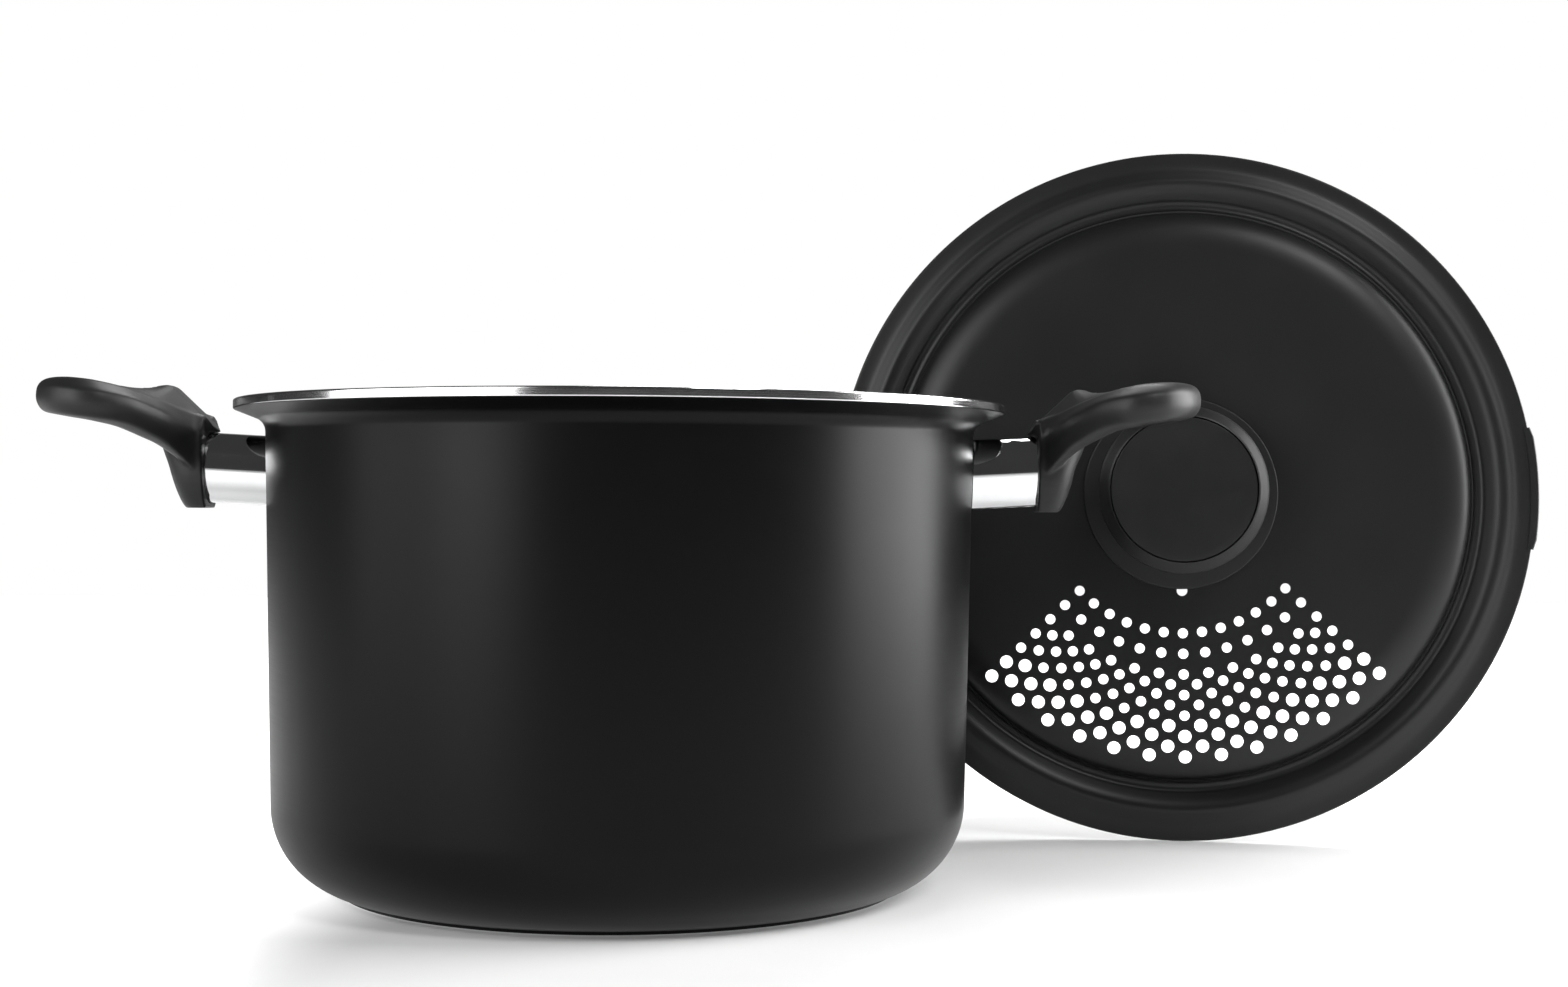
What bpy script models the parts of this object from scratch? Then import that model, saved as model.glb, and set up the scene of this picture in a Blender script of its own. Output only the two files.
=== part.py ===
"""Deep pasta pot with two moulded side handles and a perforated strainer lid.

The pot stands on the floor with its axis on the world Z axis and the centre of its
base at the origin.  The handles point along +X and -X.  The lid is off the pot: it
stands on its edge behind the right handle, with its knob towards -Y.
"""

import math

import bmesh
import bpy
import numpy as np
from mathutils import Matrix

# General fits, in metres like every length below
SEAT_GAP = 0.0003
CUT_EXTRA = 0.002
ROUND_STEPS = 48
KNOB_STEPS = 36
SMALL_STEPS = 16
SLEEVE_STEPS = 24

# Pot body
POT_HEIGHT = 0.1499
RIM_FLARE = 0.0096
RIM_EDGE_ROUND = 0.0010
WALL_THICKNESS = 0.0024
WALL_TOP_RADIUS = 0.1098
WALL_BASE_RADIUS = 0.1076
FLARE_RADIUS = 0.0045
FLARE_SLOPE = math.radians(18)
CORNER_RADIUS = 0.027
INNER_CORNER_RADIUS = 0.023
FLOOR_THICKNESS = 0.004
BASE_STEP_HEIGHT = 0.0009
BASE_STEP_WIDTH = 0.0004
BASE_GROOVE_COUNT = 3
BASE_GROOVE_PITCH = 0.020
BASE_GROOVE_WIDTH = 0.002
BASE_GROOVE_DEPTH = 0.0005

# Handle axis: where it meets the wall below the rim, and its rise outwards
HANDLE_BELOW_RIM = 0.0214
HANDLE_RISE = math.radians(3)

# Stud on the wall and the chrome sleeve around it, measured out from the wall
STUD_FLANGE_RADIUS = 0.0068
STUD_FLANGE_THICKNESS = 0.003
STUD_RADIUS = 0.0045
STUD_LENGTH = 0.0194
SLEEVE_HALF_HEIGHT = 0.0110
SLEEVE_HALF_WIDTH = 0.0086
SLEEVE_WALL = 0.0009
SLEEVE_LENGTH = 0.0238

# Screw and lock washer of a handle, and their room in the grip
SCREW_RADIUS = 0.0020
SCREW_CLEARANCE = 0.0004
SCREW_GRIP_IN_STUD = 0.010
SCREW_HEAD_RADIUS = 0.0044
SCREW_HEAD_HEIGHT = 0.0026
SCREW_SLOT_DEPTH = 0.0012
SCREW_SLOT_WIDTH = 0.0010
WASHER_RADIUS = 0.0043
WASHER_THICKNESS = 0.0010
RECESS_WALL = 0.0022
RECESS_CLEARANCE = 0.0008

# Central block of a grip, from its narrow foot up to the guard
SOCKET_DEPTH = 0.0038
SOCKET_LIP = 0.0017
BLOCK_HALF_WIDTH = 0.0112
BLOCK_DEPTH = 0.0124
BLOCK_WIDENING = 0.38
FOOT_DEPTH = 0.0072
FOOT_NARROWING = 0.72
BLOCK_SIDES = 10
# Heights of the block's sections in parts of its depth below and above the axis, the
# bend of its outer line down to the foot, and how full its rounded outer side is
BLOCK_LEVELS_BELOW = (1.0, 0.93, 0.75, 0.5, 0.25, 0.0)
BLOCK_LEVELS_ABOVE = (0.4, 0.8)
BLOCK_LINE_BEND = 0.7
BLOCK_FULLNESS = 0.55
BLOCK_TOP_NARROWING = 0.1

# Guard between the two arms of the loop
GUARD_REACH = 0.0128
GUARD_ABOVE_LOOP = 0.0042
GUARD_CROWN = 0.0034
# Crown line of the guard in parts of its reach and height, from the brow over the sleeve
# over its peak to the ends of its flanks
GUARD_LINE = (
    (-0.234, 0.448),
    (0.125, 0.629),
    (0.860, 0.973),
    (1.000, 1.000),
    (1.210, 0.988),
    (1.520, 0.965),
    (1.910, 0.950),
)
GUARD_STEPS = 9
# Where the flanks end inside the arms, in parts of an arm's distance and half height,
# and the bends of the brow's edge and of the flanks' ends
FLANK_ALONG_ARM = 0.97
FLANK_UNDER_RIDGE = 0.95
BROW_BEND = 1.5
FLANK_END_BEND = 2.2

# Loop of a grip: its tip's reach from the block's inner face and rise over the handle
# axis, its widest place, and half the height and width of its section at the tip
LOOP_REACH = 0.0438
LOOP_RISE = 0.0217
LOOP_SPREAD = 0.0357
LOOP_HALF_HEIGHT = 0.0056
LOOP_HALF_WIDTH = 0.0064
# Stations of the loop from its root to its tip, in parts of those five sizes: reach,
# spread, rise, half height and half width
LOOP_STATIONS = (
    (0.007, 0.174, 0.272, 1.84, 0.83),
    (0.064, 0.218, 0.338, 1.72, 0.84),
    (0.124, 0.319, 0.435, 1.50, 0.86),
    (0.231, 0.532, 0.611, 1.27, 0.89),
    (0.316, 0.675, 0.709, 1.19, 0.89),
    (0.444, 0.868, 0.829, 1.11, 0.89),
    (0.591, 1.000, 0.897, 1.10, 0.89),
    (0.751, 0.980, 0.940, 1.07, 0.89),
    (0.887, 0.796, 0.972, 1.02, 0.92),
    (0.973, 0.471, 0.991, 1.00, 0.97),
    (1.000, 0.000, 1.000, 1.00, 1.00),
)
LOOP_STEPS_BETWEEN = 2
# Section of the loop in parts of its half width (towards the outside) and half height:
# a sloping upper facet, a front that turns under and a low edge, fuller at the tip
LOOP_SECTION = (
    (1.00, -0.06),
    (0.95, 0.26),
    (0.84, 0.47),
    (0.02, 0.97),
    (-0.60, 0.92),
    (-1.00, 0.10),
    (-0.75, -0.82),
    (-0.10, -1.00),
    (0.46, -0.90),
    (0.72, -0.78),
    (0.93, -0.44),
)
LOOP_TIP_SECTION = (
    (1.00, -0.10),
    (0.99, 0.24),
    (0.92, 0.54),
    (0.45, 0.95),
    (-0.45, 0.97),
    (-1.00, 0.10),
    (-0.75, -0.82),
    (-0.10, -1.00),
    (0.44, -0.92),
    (0.74, -0.74),
    (0.93, -0.42),
)
LOOP_FULL_FROM = 0.55
# Reach over which the root's sections turn from the end face to the arm's own line
LOOP_TURNING_REACH = 0.0198

# Lid plate, with its own origin on its axis at the underside of the flange
LID_OVERHANG = 0.0041
LID_THICKNESS = 0.0010
LID_MOUTH_FIT = 0.0004
LID_PLATEAU_HEIGHT = 0.0060
LID_SHOULDER_RADIUS = 0.0075
LID_GROOVE_RADIUS = 0.0024
LID_GROOVE_DEPTH = 0.0012
LID_BEAD_HEIGHT = 0.0030
LID_FLANGE_HEIGHT = 0.0010
LID_EDGE_DROP = 0.0005

# Strainer holes: rows on circles and columns on rays, with staggered rows between
STRAINER_COLUMNS = 13
STRAINER_COLUMN_ANGLE = math.radians(7.75)
STRAINER_BEYOND_KNOB = 0.0156
STRAINER_INSIDE_MOUTH = 0.0139
STRAINER_MAIN_ROWS = 7
STRAINER_STAGGERED_ROW = 2
STRAINER_LARGE_ROW = 4.5
STRAINER_SMALL_RADIUS = 0.0018
STRAINER_LARGE_RADIUS = 0.0023
STRAINER_HOLE_SIDES = 8
VENT_BEYOND_KNOB = 0.0005
VENT_RADIUS = 0.0019
# Turns that keep the spokes of the lid mesh off the middles and corners of the holes
SPOKE_OFFSET = math.radians(2.3)
HOLE_OFFSET = math.radians(9)

# Turned-down tabs at the two sides of the lid
TAB_LENGTH = 0.0365
TAB_CHAMFER = 0.0036
TAB_PROUD = 0.0015
TAB_DROP = 0.0085
TAB_ROUND = 0.0004
TAB_STATIONS = 8

# Knob of the lid
KNOB_DISC_RADIUS = 0.0341
KNOB_DISC_THICKNESS = 0.0020
KNOB_DISC_ROUND = 0.0007
KNOB_FOOT_RADIUS = 0.0165
KNOB_NECK_RADIUS = 0.0135
KNOB_RADIUS = 0.0291
KNOB_HEIGHT = 0.0240
KNOB_BEVEL_WIDTH = 0.0038
KNOB_BEVEL_DROP = 0.0026
KNOB_EDGE_HEIGHT = 0.0020
KNOB_FLARE_HEIGHT = 0.0130
KNOB_FOOT_HEIGHT = 0.0030
KNOB_POCKET_DEPTH = 0.0028
KNOB_CAP_THICKNESS = 0.0022
KNOB_CAP_ROUND = 0.0004
INSERT_RADIUS = 0.0042
INSERT_LENGTH = 0.0110
KNOB_SCREW_REACH = 0.0100
KNOB_WASHER_RADIUS = 0.0065

# Place of the lid: standing on its edge beside and behind the wall, turned to the front
LID_BESIDE_WALL = 0.0827
LID_BEHIND_WALL = -0.0114
LID_LEAN = math.radians(3)
LID_TURN = math.radians(-7)
LID_ROLL = math.radians(1.25)

# Sizes that follow from the ones above
RIM_RADIUS = WALL_TOP_RADIUS + RIM_FLARE
MOUTH_RADIUS = WALL_TOP_RADIUS - WALL_THICKNESS
HANDLE_HEIGHT = POT_HEIGHT - HANDLE_BELOW_RIM
SLEEVE_END = WALL_TOP_RADIUS + SLEEVE_LENGTH
SLEEVE_START = WALL_TOP_RADIUS - SLEEVE_LENGTH / 2
STUD_END = WALL_TOP_RADIUS + STUD_LENGTH
BLOCK_START = SLEEVE_END - SOCKET_DEPTH
BLOCK_AXIS_HEIGHT = HANDLE_HEIGHT + (BLOCK_START - WALL_TOP_RADIUS) * math.tan(HANDLE_RISE)
RECESS_START = SLEEVE_END + RECESS_WALL
RECESS_RADIUS = SCREW_HEAD_RADIUS + RECESS_CLEARANCE
GUARD_HEIGHT = LOOP_RISE + GUARD_ABOVE_LOOP
LID_RADIUS = RIM_RADIUS + LID_OVERHANG
LID_PLACE = (WALL_TOP_RADIUS + LID_BESIDE_WALL, WALL_TOP_RADIUS + LID_BEHIND_WALL)


def clear_scene():
    for old in list(bpy.data.objects):
        bpy.data.objects.remove(old, do_unlink=True)
    for old in list(bpy.data.collections):
        bpy.data.collections.remove(old)


def new_collection(name):
    group = bpy.data.collections.new(name)
    bpy.context.scene.collection.children.link(group)
    return group


def new_material(name, colour, roughness, metallic):
    made = bpy.data.materials.new(name)
    made.use_nodes = True
    shader = made.node_tree.nodes["Principled BSDF"]
    shader.inputs["Base Color"].default_value = (*colour, 1.0)
    shader.inputs["Roughness"].default_value = roughness
    shader.inputs["Metallic"].default_value = metallic
    made.diffuse_color = (*colour, 1.0)
    return made


def add_object(name, data, group, parent=None, look=None):
    made = bpy.data.objects.new(name, data)
    group.objects.link(made)
    made.parent = parent
    if look is not None:
        data.materials.append(look)
    if group is CUTTERS:
        made.hide_render = True
        made.display_type = "WIRE"
    return made


def add_empty(name, matrix):
    made = bpy.data.objects.new(name, None)
    PARTS.objects.link(made)
    made.matrix_world = matrix
    return made


def mesh_from(name, bm):
    bmesh.ops.recalc_face_normals(bm, faces=bm.faces[:])
    mesh = bpy.data.meshes.new(name)
    bm.to_mesh(mesh)
    bm.free()
    return mesh


def turned(name, profile, group, parent=None, look=None, steps=ROUND_STEPS, start=0.0):
    """A solid turned about its own Z axis from a profile that runs down its outer side."""
    mesh = bpy.data.meshes.new(name)
    across, along = math.cos(start), math.sin(start)
    points = [(radius * across, radius * along, height) for radius, height in profile]
    edges = [(index, index + 1) for index in range(len(points) - 1)]
    mesh.from_pydata(points, edges, [])
    made = add_object(name, mesh, group, parent, look)
    spin = made.modifiers.new("Turn", "SCREW")
    spin.axis = "Z"
    spin.steps = steps
    spin.render_steps = steps
    spin.use_merge_vertices = True
    spin.merge_threshold = 0.00002
    spin.use_smooth_shade = True
    return made


def closed_ring(profile):
    """The same profile with its first point again at the end."""
    return list(profile) + [profile[0]]


def rod(bm, radius, start, end, sides, wide=1.0):
    """A round bar along Z in a bmesh, wider along Y when wide is above one."""
    middle = (start + end) / 2
    place = Matrix.Translation((0.0, 0.0, middle)) @ Matrix.Diagonal((1.0, wide, 1.0, 1.0))
    bmesh.ops.create_cone(
        bm,
        cap_ends=True,
        segments=sides,
        radius1=radius,
        radius2=radius,
        depth=end - start,
        matrix=place,
    )


def rod_object(
    name, radius, start, end, group, parent=None, look=None, sides=SMALL_STEPS, wide=1.0
):
    bm = bmesh.new()
    rod(bm, radius, start, end, sides, wide)
    return add_object(name, mesh_from(name, bm), group, parent, look)


def boolean(target, other, operation="DIFFERENCE"):
    step = target.modifiers.new(operation.title(), "BOOLEAN")
    step.operation = operation
    step.solver = "EXACT"
    step.object = other


def arc(centre, radius, first, last, count):
    """Points on an arc in the plane of a profile, first and last angle included."""
    angles = np.linspace(first, last, count)
    return [(centre[0] + radius * math.cos(a), centre[1] + radius * math.sin(a)) for a in angles]


def flare_centre():
    """Centre of the fillet between wall and rim, found from the rim's edge inwards."""
    lip = POT_HEIGHT - WALL_THICKNESS / math.cos(FLARE_SLOPE)
    across = WALL_TOP_RADIUS + FLARE_RADIUS
    touch = across - FLARE_RADIUS * math.sin(FLARE_SLOPE)
    touch_height = lip - (RIM_RADIUS - touch) * math.tan(FLARE_SLOPE)
    return (across, touch_height - FLARE_RADIUS * math.cos(FLARE_SLOPE))


def pot_outside(grow=0.0):
    """Outer side of the pot from under the rim edge down to the base, grown outwards."""
    flare = arc(flare_centre(), FLARE_RADIUS - grow, math.pi / 2 + FLARE_SLOPE, math.pi, 5)
    reach = RIM_RADIUS - RIM_EDGE_ROUND
    edge = (reach, flare[0][1] + (reach - flare[0][0]) * math.tan(FLARE_SLOPE))
    centre = (WALL_BASE_RADIUS - CORNER_RADIUS, CORNER_RADIUS)
    end = math.asin((CORNER_RADIUS - BASE_STEP_HEIGHT) / CORNER_RADIUS)
    corner = arc(centre, CORNER_RADIUS + grow, 0.0, -end, 7)
    return [edge] + flare + corner


def base_with_grooves(step_radius):
    """Underside of the pot from its edge to the axis, with its turned grooves."""
    points = [(step_radius - BASE_STEP_WIDTH, 0.0)]
    for count in range(BASE_GROOVE_COUNT, 0, -1):
        radius = count * BASE_GROOVE_PITCH
        points.append((radius + BASE_GROOVE_WIDTH / 2, 0.0))
        points.append((radius, BASE_GROOVE_DEPTH))
        points.append((radius - BASE_GROOVE_WIDTH / 2, 0.0))
    points.append((0.0, 0.0))
    return points


def make_pot():
    outside = pot_outside()
    inner_flare = arc(
        flare_centre(), FLARE_RADIUS + WALL_THICKNESS, math.pi, math.pi / 2 + FLARE_SLOPE, 5
    )
    inner_centre = (
        WALL_BASE_RADIUS - WALL_THICKNESS - INNER_CORNER_RADIUS,
        FLOOR_THICKNESS + INNER_CORNER_RADIUS,
    )
    inner_corner = arc(inner_centre, INNER_CORNER_RADIUS, -math.pi / 2, 0.0, 6)
    rim_edge = [
        (RIM_RADIUS - RIM_EDGE_ROUND, POT_HEIGHT),
        (RIM_RADIUS, POT_HEIGHT - RIM_EDGE_ROUND),
        (RIM_RADIUS, outside[0][1] + RIM_EDGE_ROUND),
    ]
    profile = [(0.0, FLOOR_THICKNESS)] + inner_corner + inner_flare
    profile += rim_edge + outside + base_with_grooves(outside[-1][0])
    turned("pot_body", profile, PARTS, look=BLACK_COAT)


def wall_cutter():
    """The whole outside of the pot as one solid, larger by the seat gap."""
    side = pot_outside(SEAT_GAP)
    profile = [(0.0, side[0][1])] + side + [(0.0, side[-1][1])]
    return turned("pot_wall_cutter", profile, CUTTERS)


def smooth_stations():
    """The loop stations with even steps between them and the mirrored half added."""
    sizes = (LOOP_REACH, LOOP_SPREAD, LOOP_RISE, LOOP_HALF_HEIGHT, LOOP_HALF_WIDTH)
    half = np.array(LOOP_STATIONS) * sizes
    other = half[-2::-1] * (1, -1, 1, 1, 1)
    stations = np.vstack([half, other])
    before = np.vstack([stations[:1], stations[:-1]])
    after = np.vstack([stations[1:], stations[-1:]])
    slopes = (after - before) / 2
    rows = []
    for index in range(len(stations) - 1):
        start, end = stations[index], stations[index + 1]
        for step in range(LOOP_STEPS_BETWEEN):
            t = step / LOOP_STEPS_BETWEEN
            rows.append(
                start * (2 * t**3 - 3 * t**2 + 1)
                + slopes[index] * (t**3 - 2 * t**2 + t)
                + end * (3 * t**2 - 2 * t**3)
                + slopes[index + 1] * (t**3 - t**2)
            )
    rows.append(stations[-1])
    return np.array(rows)


def lofted(name, rings):
    """A closed mesh through rings of points, with its two ends closed."""
    bm = bmesh.new()
    made = [[bm.verts.new(point) for point in ring] for ring in rings]
    for first, second in zip(made[:-1], made[1:]):
        for index in range(len(first)):
            follow = (index + 1) % len(first)
            bm.faces.new((first[index], first[follow], second[follow], second[index]))
    bm.faces.new(made[0])
    bm.faces.new(made[-1][::-1])
    bmesh.ops.recalc_face_normals(bm, faces=bm.faces[:])
    return mesh_from(name, bm)


def loop_mesh(name):
    """The loop of a grip, lofted through sections that change in height and width."""
    rows = smooth_stations()
    heading = np.gradient(rows[:, :2], axis=0)
    heading /= np.linalg.norm(heading, axis=1)[:, None]
    straight = np.sign(heading[:, :1]) * (1.0, 0.0)
    turned_out = np.clip(rows[:, :1] / LOOP_TURNING_REACH, 0.0, 1.0)
    heading = straight + (heading - straight) * turned_out
    heading /= np.linalg.norm(heading, axis=1)[:, None]
    outward = np.stack([-heading[:, 1], heading[:, 0]], axis=1)
    root, tip = np.array(LOOP_SECTION), np.array(LOOP_TIP_SECTION)
    rings = []
    for (x, y, z, half_height, half_width), side in zip(rows, outward):
        fuller = max(0.0, x / LOOP_REACH - LOOP_FULL_FROM) / (1.0 - LOOP_FULL_FROM)
        ring = []
        for across, up in root + (tip - root) * fuller:
            offset = side * across * half_width
            outwards = BLOCK_START + x + offset[0]
            height = BLOCK_AXIS_HEIGHT + z + up * half_height
            ring.append((outwards, y + offset[1], height))
        rings.append(ring)
    return lofted(name, rings)


def block_mesh(name):
    """The block around the sleeve's end, lofted from its narrow foot up to the guard."""
    depth = SLEEVE_HALF_HEIGHT + SOCKET_LIP
    levels = []
    for down in BLOCK_LEVELS_BELOW:
        reach = FOOT_DEPTH + (BLOCK_DEPTH - FOOT_DEPTH) * (1.0 - down) ** BLOCK_LINE_BEND
        wide = BLOCK_HALF_WIDTH * math.sqrt(1.0 - FOOT_NARROWING * down**2)
        levels.append((-depth * down, reach, wide))
    for up in BLOCK_LEVELS_ABOVE:
        reach = BLOCK_DEPTH * (1.0 + BLOCK_WIDENING * up)
        wide = BLOCK_HALF_WIDTH * (1.0 - BLOCK_TOP_NARROWING * up)
        levels.append((depth * up, reach, wide))
    rings = []
    for height, reach, wide in levels:
        ring = [(BLOCK_START, -wide, BLOCK_AXIS_HEIGHT + height)]
        for step in range(1, BLOCK_SIDES):
            angle = math.pi * (step / BLOCK_SIDES - 0.5)
            outwards = BLOCK_START + reach * math.cos(angle) ** BLOCK_FULLNESS
            ring.append((outwards, wide * math.sin(angle), BLOCK_AXIS_HEIGHT + height))
        ring.append((BLOCK_START, wide, BLOCK_AXIS_HEIGHT + height))
        rings.append(ring)
    return lofted(name, rings)


def guard_mesh(name):
    """The guard: a crown on the centre line whose flanks run down to both arms."""
    rows = smooth_stations()
    arm = rows[: len(rows) // 2]
    line = np.array(GUARD_LINE) * (GUARD_REACH, GUARD_HEIGHT)
    brow, shoulder, end = line[0][0], line[4][0], line[-1][0]
    rings = []
    for across in np.linspace(-1.0, 1.0, GUARD_STEPS):
        first = brow * (1.0 - abs(across) ** BROW_BEND) + SEAT_GAP * 0.5
        last = shoulder + (end - shoulder) * abs(across) ** FLANK_END_BEND
        top, under = [], []
        for x in np.linspace(first, last, GUARD_STEPS):
            spread = np.interp(x, arm[:, 0], arm[:, 1]) * FLANK_ALONG_ARM
            centre = np.interp(x, arm[:, 0], arm[:, 2])
            ridge = centre + np.interp(x, arm[:, 0], arm[:, 3]) * FLANK_UNDER_RIDGE
            crown = np.interp(x, line[:, 0], line[:, 1])
            y = across * spread
            flank = max(0.0, abs(y) - GUARD_CROWN) / (spread - GUARD_CROWN)
            low = centre if x > 0.0 else SLEEVE_HALF_HEIGHT
            height = crown + (ridge - crown) * flank
            low = min(low, crown - SEAT_GAP)
            top.append((BLOCK_START + x, y, BLOCK_AXIS_HEIGHT + height))
            under.append((BLOCK_START + x, y, BLOCK_AXIS_HEIGHT + low))
        rings.append(top + under[::-1])
    return lofted(name, rings)


def handle_cutters(side, axis):
    """Socket, bore and screw recess of a grip, along the handle axis."""
    sleeve_wide = SLEEVE_HALF_WIDTH / SLEEVE_HALF_HEIGHT
    bm = bmesh.new()
    room = SLEEVE_HALF_HEIGHT + SEAT_GAP
    rod(bm, room, SLEEVE_START, SLEEVE_END + SEAT_GAP, SLEEVE_STEPS, sleeve_wide)
    socket = add_object("grip_socket_cutter_" + side, mesh_from("socket", bm), CUTTERS, axis)
    bore = rod_object(
        "grip_bore_cutter_" + side,
        SCREW_RADIUS + SCREW_CLEARANCE,
        SLEEVE_END - CUT_EXTRA,
        RECESS_START + CUT_EXTRA,
        CUTTERS,
        axis,
    )
    recess = rod_object(
        "grip_recess_cutter_" + side,
        RECESS_RADIUS,
        RECESS_START,
        BLOCK_START + BLOCK_DEPTH * 2,
        CUTTERS,
        axis,
    )
    return socket, bore, recess


def make_grip(side, frame, axis):
    name = "handle_grip_" + side
    grip = add_object(name, block_mesh(name), PARTS, frame, PHENOLIC)
    for kind, make in (("loop", loop_mesh), ("guard", guard_mesh)):
        other = "grip_" + kind + "_" + side
        boolean(grip, add_object(other, make(other), CUTTERS, frame), "UNION")
    for cutter in handle_cutters(side, axis):
        boolean(grip, cutter)
    return grip


def make_handle(side, turn, wall):
    frame = add_empty("handle_frame_" + side, Matrix.Rotation(turn, 4, "Z"))
    on_wall = Matrix.Translation((WALL_TOP_RADIUS, 0.0, HANDLE_HEIGHT))
    tilt = Matrix.Rotation(math.radians(90) - HANDLE_RISE, 4, "Y")
    back_to_axis = Matrix.Translation((0.0, 0.0, -WALL_TOP_RADIUS))
    axis = add_empty(
        "handle_axis_" + side, Matrix.Rotation(turn, 4, "Z") @ on_wall @ tilt @ back_to_axis
    )
    wide = SLEEVE_HALF_WIDTH / SLEEVE_HALF_HEIGHT

    # Stud with its flange against the wall
    screw_tip = STUD_END - SCREW_GRIP_IN_STUD
    hole_end = screw_tip - SEAT_GAP * 5
    flange_end = WALL_TOP_RADIUS + STUD_FLANGE_THICKNESS
    stud = turned(
        "handle_stud_" + side,
        (
            (0.0, hole_end),
            (SCREW_RADIUS + SEAT_GAP, hole_end),
            (SCREW_RADIUS + SEAT_GAP, STUD_END),
            (STUD_RADIUS, STUD_END),
            (STUD_RADIUS, flange_end),
            (STUD_FLANGE_RADIUS, flange_end),
            (STUD_FLANGE_RADIUS, SLEEVE_START),
            (0.0, SLEEVE_START),
        ),
        PARTS,
        axis,
        STEEL,
        steps=SMALL_STEPS,
    )
    boolean(stud, wall)

    # Chrome sleeve, cut to the wall at its inner end
    sleeve = rod_object(
        "ferrule_" + side,
        SLEEVE_HALF_HEIGHT,
        SLEEVE_START,
        SLEEVE_END,
        PARTS,
        axis,
        CHROME,
        sides=SLEEVE_STEPS,
        wide=wide,
    )
    inner = rod_object(
        "ferrule_bore_cutter_" + side,
        SLEEVE_HALF_HEIGHT - SLEEVE_WALL,
        SLEEVE_START - CUT_EXTRA,
        SLEEVE_END + CUT_EXTRA,
        CUTTERS,
        axis,
        sides=SLEEVE_STEPS,
        wide=(SLEEVE_HALF_WIDTH - SLEEVE_WALL) / (SLEEVE_HALF_HEIGHT - SLEEVE_WALL),
    )
    boolean(sleeve, inner)
    boolean(sleeve, wall)

    make_grip(side, frame, axis)

    # Lock washer and slotted screw in the recess of the grip
    washer_start = RECESS_START + SEAT_GAP / 2
    washer_end = washer_start + WASHER_THICKNESS
    washer_hole = SCREW_RADIUS + SEAT_GAP
    turned(
        "handle_washer_" + side,
        closed_ring(
            (
                (washer_hole, washer_start),
                (washer_hole, washer_end),
                (WASHER_RADIUS, washer_end),
                (WASHER_RADIUS, washer_start),
            )
        ),
        PARTS,
        axis,
        STEEL,
        steps=SMALL_STEPS,
    )
    head_start = washer_end + SEAT_GAP / 2
    head_end = head_start + SCREW_HEAD_HEIGHT
    screw = turned(
        "handle_screw_" + side,
        (
            (0.0, head_end),
            (SCREW_HEAD_RADIUS * 0.7, head_end),
            (SCREW_HEAD_RADIUS * 0.93, head_end - SCREW_HEAD_HEIGHT * 0.25),
            (SCREW_HEAD_RADIUS, head_end - SCREW_HEAD_HEIGHT * 0.6),
            (SCREW_HEAD_RADIUS, head_start),
            (SCREW_RADIUS, head_start),
            (SCREW_RADIUS, screw_tip),
            (0.0, screw_tip),
        ),
        PARTS,
        axis,
        STEEL,
        steps=SMALL_STEPS,
    )
    bm = bmesh.new()
    bmesh.ops.create_cube(
        bm,
        size=1.0,
        matrix=Matrix.Translation((0.0, 0.0, head_end))
        @ Matrix.Diagonal((SCREW_SLOT_WIDTH, SCREW_HEAD_RADIUS * 3, SCREW_SLOT_DEPTH * 2, 1.0)),
    )
    slot = add_object("screw_slot_cutter_" + side, mesh_from("slot", bm), CUTTERS, axis)
    boolean(screw, slot)


def strainer_holes():
    """Centre and radius of every hole of the strainer, in the plane of the lid."""
    rows = STRAINER_MAIN_ROWS - 1
    first = KNOB_DISC_RADIUS + STRAINER_BEYOND_KNOB
    pitch = (MOUTH_RADIUS - STRAINER_INSIDE_MOUTH - first) / rows
    half_fan = (STRAINER_COLUMNS - 1) / 2
    holes = []
    for row in range(STRAINER_MAIN_ROWS):
        for column in range(STRAINER_COLUMNS):
            holes.append((row, column - half_fan))
        if STRAINER_STAGGERED_ROW <= row < rows:
            for column in range(STRAINER_COLUMNS - 1):
                holes.append((row + 0.5, column + 0.5 - half_fan))
    placed = []
    for row, column in holes:
        distance = first + row * pitch
        angle = column * STRAINER_COLUMN_ANGLE
        radius = STRAINER_LARGE_RADIUS if row >= STRAINER_LARGE_ROW else STRAINER_SMALL_RADIUS
        placed.append((distance * math.sin(angle), -distance * math.cos(angle), radius))
    placed.append((0.0, -KNOB_DISC_RADIUS - VENT_BEYOND_KNOB, VENT_RADIUS))
    return placed


def hole_cutter(frame):
    aside = Matrix.Rotation(HOLE_OFFSET, 4, "Z")
    bm = bmesh.new()
    for x, y, radius in strainer_holes():
        bmesh.ops.create_cone(
            bm,
            cap_ends=True,
            segments=STRAINER_HOLE_SIDES,
            radius1=radius,
            radius2=radius,
            depth=LID_PLATEAU_HEIGHT * 2,
            matrix=Matrix.Translation((x, y, LID_PLATEAU_HEIGHT)) @ aside,
        )
    return add_object("strainer_hole_cutter", mesh_from("holes", bm), CUTTERS, frame)


def tab_section(outer, drop):
    """Angled section of a tab: its roof joined to the flange and its flap turned down."""
    root = LID_RADIUS - TAB_PROUD
    top = LID_FLANGE_HEIGHT
    return [
        (root, top - LID_THICKNESS),
        (root, top),
        (outer - TAB_ROUND, top),
        (outer, top - TAB_ROUND),
        (outer, top - drop),
        (outer - LID_THICKNESS, top - drop),
        (outer - LID_THICKNESS, top - LID_THICKNESS),
    ]


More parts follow.
